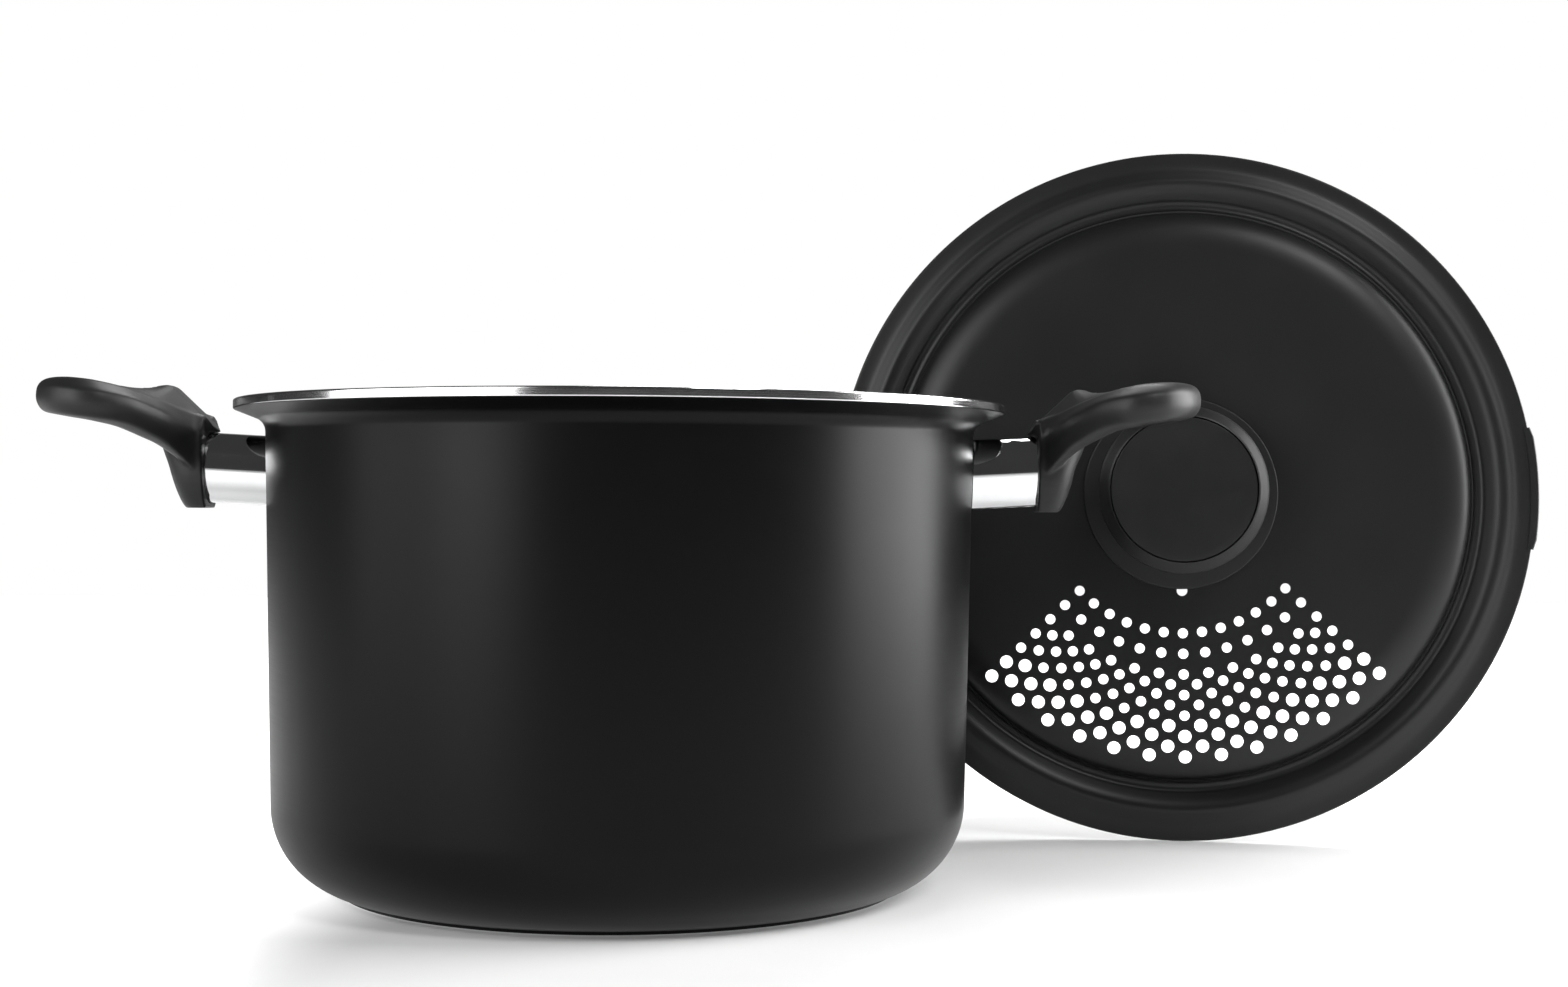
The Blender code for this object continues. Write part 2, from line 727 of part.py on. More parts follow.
def make_tab(name, turn, frame):
    """A turned-down tab swept about the lid's axis, with cut-off ends."""
    outer = LID_RADIUS + TAB_PROUD
    half_angle = TAB_LENGTH / 2 / outer
    cut_angle = TAB_CHAMFER / outer
    stations = [(-half_angle - cut_angle, LID_RADIUS + TAB_ROUND, LID_THICKNESS * 1.5)]
    for angle in np.linspace(-half_angle, half_angle, TAB_STATIONS):
        stations.append((angle, outer, TAB_DROP))
    stations.append((half_angle + cut_angle, LID_RADIUS + TAB_ROUND, LID_THICKNESS * 1.5))
    bm = bmesh.new()
    rings = []
    for angle, reach, drop in stations:
        across, along = math.cos(turn + angle), math.sin(turn + angle)
        section = tab_section(reach, drop)
        rings.append([bm.verts.new((r * across, r * along, z)) for r, z in section])
    for first, second in zip(rings[:-1], rings[1:]):
        for index in range(len(first)):
            follow = (index + 1) % len(first)
            bm.faces.new((first[index], first[follow], second[follow], second[index]))
    bm.faces.new(rings[0])
    bm.faces.new(rings[-1][::-1])
    return add_object(name, mesh_from(name, bm), CUTTERS, frame)


def lid_top():
    """Upper side of the lid from its plateau over the groove and bead to the edge."""
    crease = MOUTH_RADIUS - LID_MOUTH_FIT
    groove = (crease - LID_GROOVE_RADIUS, LID_GROOVE_RADIUS - LID_GROOVE_DEPTH)
    groove_inner = groove[0] - LID_GROOVE_RADIUS
    shoulder = (groove_inner - LID_SHOULDER_RADIUS, LID_PLATEAU_HEIGHT - LID_SHOULDER_RADIUS)
    flange = RIM_RADIUS - LID_FLANGE_HEIGHT
    bead = (crease + flange) / 2
    points = arc(shoulder, LID_SHOULDER_RADIUS, math.pi / 2, 0.2, 5)
    points += arc(groove, LID_GROOVE_RADIUS, -math.pi * 0.85, -math.pi * 0.2, 4)
    points += [
        ((crease + bead) / 2, LID_BEAD_HEIGHT * 0.75),
        (bead, LID_BEAD_HEIGHT),
        ((bead + flange) / 2, (LID_BEAD_HEIGHT + LID_FLANGE_HEIGHT) / 2),
        (flange, LID_FLANGE_HEIGHT),
        (LID_RADIUS - LID_THICKNESS / 2, LID_FLANGE_HEIGHT - LID_EDGE_DROP),
    ]
    return points


def make_lid_plate(frame):
    side = lid_top()
    under = [(radius, height - LID_THICKNESS) for radius, height in reversed(side)]
    rolled = (LID_RADIUS, side[-1][1] - LID_THICKNESS / 2)
    hole = SCREW_RADIUS + SCREW_CLEARANCE
    inside = [
        (hole, LID_PLATEAU_HEIGHT - LID_THICKNESS),
        (hole, LID_PLATEAU_HEIGHT),
    ]
    profile = closed_ring(inside + side + [rolled] + under)
    plate = turned("lid_plate", profile, PARTS, frame, BLACK_COAT, start=SPOKE_OFFSET)
    for side, turn in (("right", 0.0), ("left", math.pi)):
        boolean(plate, make_tab("lid_tab_" + side, turn, frame), "UNION")
    boolean(plate, hole_cutter(frame))
    return plate


def knob_flare(top):
    """Undercut of the knob: a quarter wave from its edge in to the neck."""
    points = []
    for step in range(6):
        share = step / 5
        swing = (1 - math.cos(math.pi * share)) / 2
        radius = KNOB_RADIUS + (KNOB_NECK_RADIUS - KNOB_RADIUS) * swing
        points.append((radius, top - KNOB_FLARE_HEIGHT * share))
    return tuple(points)


def make_knob(frame):
    disc_start = LID_PLATEAU_HEIGHT + SEAT_GAP
    disc_end = disc_start + KNOB_DISC_THICKNESS
    bore = SCREW_RADIUS + SEAT_GAP
    turned(
        "knob_base",
        closed_ring(
            (
                (bore, disc_end),
                (KNOB_DISC_RADIUS - KNOB_DISC_ROUND, disc_end),
                (KNOB_DISC_RADIUS, disc_end - KNOB_DISC_ROUND),
                (KNOB_DISC_RADIUS, disc_start),
                (bore, disc_start),
            )
        ),
        PARTS,
        frame,
        PHENOLIC,
        steps=KNOB_STEPS,
    )

    # Knob body with an undercut for the fingers and a bevelled ring around the cap
    start = disc_end + SEAT_GAP
    top = start + KNOB_HEIGHT
    pocket_floor = top - KNOB_POCKET_DEPTH
    insert_bore = INSERT_RADIUS + SEAT_GAP
    insert_top = start + INSERT_LENGTH + SEAT_GAP
    ring_low = top - KNOB_BEVEL_DROP
    pocket_radius = KNOB_RADIUS - KNOB_BEVEL_WIDTH
    turned(
        "knob_body",
        (
            (0.0, pocket_floor),
            (pocket_radius, pocket_floor),
            (pocket_radius, top),
            (KNOB_RADIUS, ring_low),
        )
        + knob_flare(ring_low - KNOB_EDGE_HEIGHT)
        + (
            (KNOB_NECK_RADIUS, start + KNOB_FOOT_HEIGHT),
            (KNOB_FOOT_RADIUS, start),
            (insert_bore, start),
            (insert_bore, insert_top),
            (0.0, insert_top),
        ),
        PARTS,
        frame,
        PHENOLIC,
        steps=KNOB_STEPS,
    )
    cap_start = pocket_floor + SEAT_GAP
    cap_end = cap_start + KNOB_CAP_THICKNESS
    cap_radius = pocket_radius - SEAT_GAP
    turned(
        "knob_cap",
        (
            (0.0, cap_end),
            (cap_radius - KNOB_CAP_ROUND, cap_end),
            (cap_radius, cap_end - KNOB_CAP_ROUND),
            (cap_radius, cap_start),
            (0.0, cap_start),
        ),
        PARTS,
        frame,
        PHENOLIC,
        steps=KNOB_STEPS,
    )
    turned(
        "knob_insert",
        closed_ring(
            (
                (bore, start + INSERT_LENGTH),
                (INSERT_RADIUS, start + INSERT_LENGTH),
                (INSERT_RADIUS, start),
                (bore, start),
            )
        ),
        PARTS,
        frame,
        BRASS,
        steps=SMALL_STEPS,
    )

    # Washer and screw from under the lid
    washer_end = LID_PLATEAU_HEIGHT - LID_THICKNESS - SEAT_GAP
    washer_start = washer_end - WASHER_THICKNESS
    turned(
        "knob_washer",
        closed_ring(
            (
                (bore, washer_end),
                (KNOB_WASHER_RADIUS, washer_end),
                (KNOB_WASHER_RADIUS, washer_start),
                (bore, washer_start),
            )
        ),
        PARTS,
        frame,
        STEEL,
        steps=SMALL_STEPS,
    )
    head_end = washer_start - SEAT_GAP
    head_start = head_end - SCREW_HEAD_HEIGHT
    screw = turned(
        "knob_screw",
        (
            (0.0, start + KNOB_SCREW_REACH),
            (SCREW_RADIUS, start + KNOB_SCREW_REACH),
            (SCREW_RADIUS, head_end),
            (SCREW_HEAD_RADIUS, head_end),
            (SCREW_HEAD_RADIUS, head_end - SCREW_HEAD_HEIGHT * 0.4),
            (SCREW_HEAD_RADIUS * 0.93, head_start + SCREW_HEAD_HEIGHT * 0.25),
            (SCREW_HEAD_RADIUS * 0.7, head_start),
            (0.0, head_start),
        ),
        PARTS,
        frame,
        STEEL,
        steps=SMALL_STEPS,
    )
    bm = bmesh.new()
    bmesh.ops.create_cube(
        bm,
        size=1.0,
        matrix=Matrix.Translation((0.0, 0.0, head_start))
        @ Matrix.Diagonal((SCREW_SLOT_WIDTH, SCREW_HEAD_RADIUS * 3, SCREW_SLOT_DEPTH * 2, 1.0)),
    )
    slot = add_object("knob_screw_slot_cutter", mesh_from("slot", bm), CUTTERS, frame)
    boolean(screw, slot)


def make_lid():
    turn = Matrix.Rotation(LID_TURN, 4, "Z")
    lean = Matrix.Rotation(math.radians(90) - LID_LEAN, 4, "X")
    roll = Matrix.Rotation(LID_ROLL, 4, "Z")
    frame = add_empty("lid_frame", turn @ lean @ roll)
    plate = make_lid_plate(frame)
    make_knob(frame)

    # Stand the lid on the floor by its lowest point
    bpy.context.view_layer.update()
    graph = bpy.context.evaluated_depsgraph_get()
    settled = plate.evaluated_get(graph)
    place = settled.matrix_world
    lowest = min((place @ vertex.co).z for vertex in settled.data.vertices)
    frame.matrix_world = Matrix.Translation((*LID_PLACE, -lowest)) @ frame.matrix_world


clear_scene()
PARTS = new_collection("pasta_pot_with_strainer_lid")
CUTTERS = new_collection("cutters")
BLACK_COAT = new_material("black_coat", (0.028, 0.028, 0.029), 0.5, 0.0)
PHENOLIC = new_material("black_phenolic", (0.022, 0.022, 0.023), 0.4, 0.0)
CHROME = new_material("chrome", (0.75, 0.75, 0.76), 0.12, 1.0)
STEEL = new_material("steel", (0.55, 0.55, 0.56), 0.35, 1.0)
BRASS = new_material("brass", (0.72, 0.55, 0.25), 0.35, 1.0)

make_pot()
wall_solid = wall_cutter()
make_handle("right", 0.0, wall_solid)
make_handle("left", math.pi, wall_solid)
make_lid()
bpy.context.view_layer.update()
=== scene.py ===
"""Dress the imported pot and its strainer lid: turned walls, moulded grips, chrome sleeves,
the punched lid with its knob, finishes, floor, light and camera."""

import math

import bmesh
import bpy
import numpy as np
from bpy.props import FloatProperty, FloatVectorProperty, IntProperty, PointerProperty
from mathutils import Matrix, Vector


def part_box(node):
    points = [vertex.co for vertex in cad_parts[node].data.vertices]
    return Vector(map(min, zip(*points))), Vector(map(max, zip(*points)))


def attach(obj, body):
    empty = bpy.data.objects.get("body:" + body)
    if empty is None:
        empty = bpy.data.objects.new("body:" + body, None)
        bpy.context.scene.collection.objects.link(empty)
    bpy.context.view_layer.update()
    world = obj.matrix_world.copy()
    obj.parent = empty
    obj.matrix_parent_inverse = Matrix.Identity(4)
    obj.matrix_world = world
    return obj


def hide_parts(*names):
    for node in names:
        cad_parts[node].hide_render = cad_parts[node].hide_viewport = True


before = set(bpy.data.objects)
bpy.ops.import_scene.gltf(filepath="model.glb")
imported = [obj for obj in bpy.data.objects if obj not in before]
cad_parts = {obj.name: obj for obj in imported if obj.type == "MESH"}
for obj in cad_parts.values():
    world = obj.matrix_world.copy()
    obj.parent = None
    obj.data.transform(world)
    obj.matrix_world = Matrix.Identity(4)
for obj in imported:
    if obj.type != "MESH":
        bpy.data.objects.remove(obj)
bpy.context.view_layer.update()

bl_info = {
    "name": "Strainer Pot Dresser",
    "version": (1, 0, 0),
    "blender": (4, 5, 0),
    "location": "View3D > Sidebar > Strainer Pot",
    "description": "Builds the fine pieces and finishes of a pot with a strainer lid",
    "category": "Object",
}

# Stations of a grip's loop from its root to its tip, in parts of the loop's reach,
# spread, rise, half height and half width
LOOP_STATIONS = (
    (0.007, 0.174, 0.272, 1.84, 0.83),
    (0.064, 0.218, 0.338, 1.72, 0.84),
    (0.124, 0.319, 0.435, 1.50, 0.86),
    (0.231, 0.532, 0.611, 1.27, 0.89),
    (0.316, 0.675, 0.709, 1.19, 0.89),
    (0.444, 0.868, 0.829, 1.11, 0.89),
    (0.591, 1.000, 0.897, 1.10, 0.89),
    (0.751, 0.980, 0.940, 1.07, 0.89),
    (0.887, 0.796, 0.972, 1.02, 0.92),
    (0.973, 0.471, 0.991, 1.00, 0.97),
    (1.000, 0.000, 1.000, 1.00, 1.00),
)

# Section of the loop in parts of its half width, towards the outside, and half height:
# a sloping upper facet, a front that turns under and a low edge, fuller at the tip
LOOP_SECTION = (
    (1.00, -0.06),
    (0.96, 0.24),
    (0.85, 0.46),
    (0.44, 0.74),
    (0.02, 0.97),
    (-0.42, 0.98),
    (-0.86, 0.66),
    (-1.00, 0.10),
    (-0.94, -0.50),
    (-0.60, -0.92),
    (-0.10, -1.00),
    (0.46, -0.90),
    (0.72, -0.78),
    (0.93, -0.44),
)
LOOP_TIP_SECTION = (
    (1.00, -0.10),
    (0.99, 0.24),
    (0.93, 0.54),
    (0.74, 0.82),
    (0.36, 0.97),
    (-0.30, 1.00),
    (-0.84, 0.70),
    (-1.00, 0.10),
    (-0.94, -0.50),
    (-0.60, -0.92),
    (-0.10, -1.00),
    (0.44, -0.92),
    (0.74, -0.74),
    (0.93, -0.42),
)

# Share of the reach from which the section fills out to its form at the tip
LOOP_FULL_FROM = 0.55

# Reach, in depths of the block, over which the arms turn to their own heading
ARM_TURN_REACH = 1.6

# Steps between two stations of the loop, and between two corners of its section
LOOP_STEPS, SECTION_STEPS = 8, 5

# Levels of a grip's block in parts of its depth, down from its axis and up to the guard
BLOCK_DOWN = (1.0, 0.93, 0.78, 0.58, 0.38, 0.18, 0.0)
BLOCK_UP = (0.25, 0.5, 0.8)

# How the block swells from its foot, how it leans out and draws in over its axis, how
# square its plan is, and the points of a half round of it
BLOCK_SWELL, BLOCK_LEAN, BLOCK_DRAW_IN, BLOCK_SQUARE = 0.7, 0.38, 0.1, 0.55
BLOCK_POINTS = 25

# Crown line of the guard in parts of its reach and height, from the brow over the sleeve
# to the ends of its flanks
GUARD_LINE = (
    (-0.234, 0.448),
    (0.125, 0.629),
    (0.860, 0.973),
    (1.000, 1.000),
    (1.210, 0.988),
    (1.520, 0.965),
    (1.910, 0.950),
)

# Station of the crown line where the guard ends on its centre line
GUARD_CENTRE_END = 4

# Rows across the guard and points along a row, the bends of its brow and of its end, its
# shares of the arms' spread and half height, and its least thickness in metres
GUARD_ROWS, GUARD_POINTS = 33, 30
GUARD_BROW_BEND, GUARD_END_BEND = 1.5, 2.2
GUARD_SPREAD, GUARD_RIDGE, GUARD_LEAST = 0.97, 0.95, 0.0003

# Easing of a grip's skin, once its block, loop and guard are joined
EASE_SHARE, EASE_STEPS = 0.5, 5

# Faces around a grip's socket, bore and recess, how far the bore's cutter overlaps its
# neighbours, and how far the recess's cutter runs out of the grip
SOCKET_SIDES, BORE_SIDES, RECESS_SIDES = 96, 40, 56
BORE_OVERLAP, RECESS_RUN = 0.002, 0.030

# Points around and along a sleeve, and the steps that find where it meets the wall
SLEEVE_AROUND, SLEEVE_ALONG, SLEEVE_TRIMS = 96, 40, 12

# Press mark on a sleeve: its place and length in parts of the sleeve's length and half
# height, its angle from the top and its spread, and its bend and fade to the ends
MARK_PLACE, MARK_LENGTH = 0.56, 0.12
MARK_ANGLE, MARK_SPREAD = math.radians(38), math.radians(17)
MARK_BEND, MARK_FADE = 0.9, 1.6

# Head of a screw in parts of its radius and height: flat and rounding across, shoulder
# and dome up, and the top of its side; then the last angle and the points of the dome
HEAD_FLAT, HEAD_ROUND = 0.55, 0.45
HEAD_SHOULDER, HEAD_DOME, HEAD_SIDE = 0.45, 0.55, 0.3
HEAD_LAST_ANGLE, HEAD_POINTS = 0.25, 9

# Slot of a screw: its turn, and the length of its cutter in radii of the head
SLOT_TURN, SLOT_LENGTH = math.radians(24), 3

# Faces around the small turned pieces, and the rounding of a washer in metres
SCREW_SIDES, LID_WASHER_SIDES, KNOB_SIDES = 48, 64, 160
WASHER_ROUND = 0.0002

# Points on a small rounding, such as a piece's edge
EDGE_POINTS = 6

# End angle of the shoulder of the lid's plate, both ends of its groove in half turns,
# the first height of its bead in parts of the bead, and the depth of a tab's cut-off
# ends in thicknesses of the sheet
SHOULDER_END = 0.2
GROOVE_FROM, GROOVE_TO = -0.85, -0.2
BEAD_START = 0.75
TAB_CUT_DEPTH = 1.5

# Turn of the lid's shell that keeps its edges off the edges of its tabs
SHELL_TURN = math.radians(0.4)

# Corners of the knob's bevelled ring in parts of their size, inner and outer: across and
# up; then the corner of its foot in metres
KNOB_SOFT = 0.0005
RING_INNER = ((0.0, -0.6), (0.25, -0.1), (1.0, -0.35))
RING_OUTER = ((1.0, 0.5), (0.25, 0.05), (0.0, -0.6))
FOOT_CORNER = ((0.0006, 0.0008), (0.0, 0.0003))

# Distances in metres within which points become one, after turning and in any mesh, and
# what is added before a row's number is cut to a whole one
TURNED_MERGE, MERGE = 0.000002, 0.000001
ROUNDING_GUARD = 0.0001

# Part of a row by which the first row with large holes is met early
ROW_MARGIN = 0.1

# Middle level of a noise
EVEN = 0.5

# Baked coating: its lighter clouds, what they do to its gloss, the shares of its grain
# and streaks in the relief, and the relief's depth in metres
COAT_LIGHTER, COAT_CLOUD_GLOSS = 1.35, 0.10
COAT_GRAIN, COAT_STREAK, COAT_DEPTH = 0.55, 6.0, 0.000012

# Moulded phenolic: the same for its flow, and the range and polish of its worn edges
PHENOLIC_LIGHTER, PHENOLIC_FLOW_GLOSS = 1.5, 0.08
PHENOLIC_GRAIN, PHENOLIC_FLOW, PHENOLIC_DEPTH = 0.6, 0.8, 0.000010
WORN_FROM, WORN_TO, WORN_POLISH = 0.50, 0.58, 0.06
PHENOLIC_SPECULAR = 0.3

# Bare metal: its darker smudges, and what lines and smudges do to its gloss
METAL_DARKER, METAL_LINE_GLOSS, METAL_SMUDGE_GLOSS = 0.86, 0.8, 0.5

# Material places of the pot's shell, after its outer coating
INSIDE_PLACE, RIM_PLACE, BASE_PLACE = 1, 2, 3

# A face of the base or of the inside by how far it faces down or up, and how much of the
# base's step is bare
FACES_DOWN, FACES_UP, BARE_STEP = -0.9, 0.5, 0.8

# Floor: middle of its lit patch, distances between which it turns to plain white, its
# glow near the pot, what it gains far off, its glow in reflections and its lighter marks
FLOOR_MIDDLE = (0.25, -0.15, 0.0)
FLOOR_FADE_FROM, FLOOR_FADE_TO = 0.315, 0.375
FLOOR_NEAR_GLOW, FLOOR_FAR_GLOW, FLOOR_MIRRORED = 0.02, 0.9, 0.20
FLOOR_LIGHTER = 1.02

# Room in reflections: where its white wall comes up behind the pot, where it comes up
# from left to right and its level at the left, the pale ground under the horizon and its
# level, the level of all the rest, and the level of the fill light
WALL_BACK, WALL_SIDE, WALL_LEFT_LEVEL = (0.76, 0.92), (-0.5, 0.6), 0.05
GROUND_EDGE, GROUND_LEVEL = (0.0, -0.10), 0.9
ROOM_LEVEL, FILL_LEVEL = 0.04, 0.16

# Upright soft boxes: azimuth from the front in degrees, distance from the pot, width and
# height, height of the middle, the setting that holds the power, and the share of it
UPRIGHT_BOXES = {
    "left_box": (-58.0, 1.3, (1.22, 1.10), 0.57, "left_power", 1.0),
    "left_core": (-38.0, 1.2, (0.56, 1.10), 0.57, "left_power", 0.5),
    "right_box": (97.0, 1.2, (0.98, 1.10), 0.57, "right_power", 1.0),
}

# Aimed soft boxes: place, aim, width and height, and the setting that holds the power
AIMED_BOXES = {
    "high_box": ((0.70, -0.89, 1.23), (0.20, 0.10, 0.12), (0.42, 0.42), "high_power"),
    "back_box": ((0.25, 0.95, 1.5), (0.0, 0.0, 0.0), (0.8, 0.5), "back_power"),
}

# Width of the camera's sensor in millimetres, and its clip distances in metres
SENSOR_WIDTH = 36.0
CLIP_START, CLIP_END = 0.01, 50.0

# The two handles by the angle of their axis about the pot
SIDES = {"right": 0.0, "left": math.pi}


def length(name, default, description):
    """A length in metres that a user may change."""
    return FloatProperty(
        name=name, default=default, description=description, unit="LENGTH", precision=5
    )


def turn(name, degrees, description):
    """An angle that a user may change."""
    return FloatProperty(
        name=name, default=math.radians(degrees), description=description, subtype="ANGLE"
    )


def count(name, default, description):
    """A whole number that a user may change."""
    return IntProperty(name=name, default=default, description=description, min=1)


def shade(name, default, description):
    """A colour that a user may change."""
    return FloatVectorProperty(
        name=name, default=default, description=description, subtype="COLOR", size=3
    )


def share(name, default, description):
    """A plain factor that a user may change."""
    return FloatProperty(name=name, default=default, description=description, precision=4)


class PotSizes(bpy.types.PropertyGroup):
    """Sizes of the pot body."""

    height: length("Height", 0.1499, "From the floor to the rim")
    rim_flare: length("Rim Flare", 0.0096, "Reach of the rim past the wall")
    rim_round: length("Rim Round", 0.0006, "Rounding of the rim's cut edge")
    lip: length("Lip", 0.0031, "Thickness of the rim at its edge")
    lip_round: length("Lip Round", 0.0006, "Rounding under the rim's cut edge")
    wall: length("Wall", 0.0024, "Thickness of the wall")
    wall_top: length("Wall Radius at Top", 0.1098, "Outer radius below the flare")
    wall_base: length("Wall Radius at Base", 0.1076, "Outer radius above the corner")
    flare_radius: length("Flare Radius", 0.0045, "Fillet between wall and rim")
    flare_slope: turn("Flare Slope", 18.0, "Rise of the rim outwards")
    corner: length("Corner", 0.027, "Outer rounding at the base")
    inner_corner: length("Inner Corner", 0.023, "Inner rounding at the floor")
    floor: length("Floor", 0.004, "Thickness of the base")
    step_height: length("Base Step", 0.0009, "Height of the step at the base")
    step_width: length("Step Width", 0.0004, "Width of the step at the base")
    groove_count: count("Grooves", 3, "Turned grooves in the underside")
    groove_pitch: length("Groove Pitch", 0.020, "Distance between the grooves")
    groove_width: length("Groove Width", 0.002, "Width of a groove")
    groove_depth: length("Groove Depth", 0.0005, "Depth of a groove")
    steps: count("Steps", 256, "Faces around the pot")


class HandleSizes(bpy.types.PropertyGroup):
    """Sizes of the sleeves, grips and their screws."""

    below_rim: length("Below Rim", 0.0214, "Handle axis under the rim")
    rise: turn("Rise", 3.0, "Rise of the handle axis outwards")
    sleeve_half_height: length("Sleeve Half Height", 0.0110, "Half the height of the oval")
    sleeve_half_width: length("Sleeve Half Width", 0.0086, "Half the width of the oval")
    sleeve_wall: length("Sleeve Wall", 0.0009, "Thickness of the chromed tube")
    sleeve_length: length("Sleeve Length", 0.0238, "From the wall into the grip")
    press_mark: length("Press Mark", 0.00035, "Depth of the mark on the sleeve")
    socket_depth: length("Socket Depth", 0.0038, "How far the sleeve enters the grip")
    socket_lip: length("Socket Lip", 0.0017, "Block below the sleeve")
    block_half_width: length("Block Half Width", 0.0112, "Half the width of the block")
    block_depth: length("Block Depth", 0.0124, "Block at the height of its axis")
    foot_depth: length("Foot Depth", 0.0072, "Block at its foot")
    foot_narrowing: share("Foot Narrowing", 0.72, "How far the block draws in at its foot")
    guard_reach: length("Guard Reach", 0.0128, "Guard's peak from the inner face")
    guard_above_loop: length("Guard Above Loop", 0.0042, "Guard's peak over the loop's rise")
    guard_crown: length("Guard Crown", 0.0034, "Half the width of the guard's crown")
    loop_reach: length("Loop Reach", 0.0438, "Tip of the loop from the inner face")
    loop_rise: length("Loop Rise", 0.0217, "Tip of the loop over the axis")
    loop_spread: length("Loop Spread", 0.0357, "Widest place of the loop")
    loop_half_height: length("Loop Half Height", 0.0056, "Half the height of the tip")
    loop_half_width: length("Loop Half Width", 0.0064, "Half the width of the tip")
    skin: length("Skin", 0.00045, "Size of the faces of a grip")
    recess_wall: length("Recess Wall", 0.0022, "Grip between sleeve and recess")
    recess_room: length("Recess Room", 0.0008, "Room around the screw head")
    screw: length("Screw", 0.0020, "Radius of the shank")
    screw_room: length("Screw Room", 0.0004, "Room around the shank")
    screw_head: length("Screw Head", 0.0044, "Radius of the head")
    head_height: length("Head Height", 0.0026, "Height of the head")
    slot_depth: length("Slot Depth", 0.0012, "Depth of the slot")
    slot_width: length("Slot Width", 0.0010, "Width of the slot")
    washer: length("Washer", 0.0043, "Radius of the washer")
    washer_height: length("Washer Height", 0.0010, "Thickness of the washer")
    stud_length: length("Stud Length", 0.0194, "Length of the stud on the wall")
    screw_in_stud: length("Screw in Stud", 0.010, "How far the screw enters the stud")


class LidSizes(bpy.types.PropertyGroup):
    """Sizes of the lid, its strainer and its knob."""

    overhang: length("Overhang", 0.0041, "Lid past the rim of the pot")
    sheet: length("Sheet", 0.0010, "Thickness of the lid")
    mouth_fit: length("Mouth Fit", 0.0004, "Room in the mouth of the pot")
    plateau: length("Plateau", 0.0060, "Height of the raised plate")
    shoulder: length("Shoulder", 0.0075, "Height of the rounding at the plate's edge")
    crown: length("Crown", 0.0140, "Width of the rounding at the plate's edge")
    groove: length("Groove", 0.0024, "Rounding of the groove")
    groove_depth: length("Groove Depth", 0.0012, "Depth of the groove")
    bead: length("Bead", 0.0030, "Height of the bead on the rim")
    flange: length("Flange", 0.0010, "Height of the flange")
    edge_drop: length("Edge Drop", 0.0003, "Fall of the flange outwards")
    steps: count("Steps", 240, "Faces around the lid")
    columns: count("Columns", 13, "Rays of holes in the fan")
    column_angle: turn("Column Angle", 7.75, "Angle between two rays")
    beyond_knob: length("Beyond Knob", 0.0156, "First row past the knob's disc")
    inside_mouth: length("Inside Mouth", 0.0139, "Last row inside the mouth")
    rows: count("Rows", 7, "Main rows of holes")
    staggered_row: count("Staggered Row", 2, "First row with holes between")
    large_row: share("Large Row", 4.5, "First row with large holes")
    small_hole: length("Small Hole", 0.0018, "Radius of a small hole")
    large_hole: length("Large Hole", 0.0023, "Radius of a large hole")
    hole_sides: count("Hole Sides", 24, "Faces around a hole")
    vent_beyond: length("Vent Beyond Knob", 0.0005, "Vent past the knob's disc")
    vent: length("Vent", 0.0019, "Radius of the vent")
    tab_length: length("Tab Length", 0.0365, "Length of a tab")
    tab_chamfer: length("Tab Chamfer", 0.0036, "Cut-off at a tab's ends")
    tab_proud: length("Tab Proud", 0.0015, "Tab past the lid's edge")
    tab_drop: length("Tab Drop", 0.0085, "Height of the turned-down flap")
    tab_round: length("Tab Round", 0.0008, "Bend of a tab")
    disc: length("Knob Disc", 0.0341, "Radius of the disc under the knob")
    disc_height: length("Disc Height", 0.0020, "Thickness of the disc")
    disc_round: length("Disc Round", 0.0005, "Rounding of the disc's edge")
    knob: length("Knob", 0.0291, "Radius of the knob")
    knob_foot: length("Knob Foot", 0.0165, "Radius of the knob's foot")
    knob_neck: length("Knob Neck", 0.0135, "Radius of the knob's neck")
    knob_height: length("Knob Height", 0.0240, "Height of the knob")
    bevel_width: length("Bevel Width", 0.0038, "Width of the ring around the cap")
    bevel_drop: length("Bevel Drop", 0.0026, "Fall of the ring outwards")
    knob_edge: length("Knob Edge", 0.0020, "Height of the knob's edge")
    knob_flare: length("Knob Flare", 0.0130, "Height of the undercut")
    foot_height: length("Foot Height", 0.0030, "Height of the knob's foot")
    pocket: length("Pocket", 0.0028, "Depth of the pocket for the cap")
    cap: length("Cap", 0.0022, "Thickness of the cap")
    cap_round: length("Cap Round", 0.0004, "Rounding of the cap's edge")
    insert: length("Insert", 0.0042, "Radius of the threaded insert")
    insert_length: length("Insert Length", 0.0110, "Length of the insert")
    screw_reach: length("Screw Reach", 0.0100, "Screw in the knob")
    washer: length("Washer", 0.0065, "Radius of the washer under the lid")
    lean: turn("Lean", 3.0, "Lean of the standing lid")
    turned: turn("Turn", -7.0, "Turn of the standing lid")
    roll: turn("Roll", 1.25, "Roll of the standing lid")
    seat: length("Seat Gap", 0.0003, "Air between seated pieces")


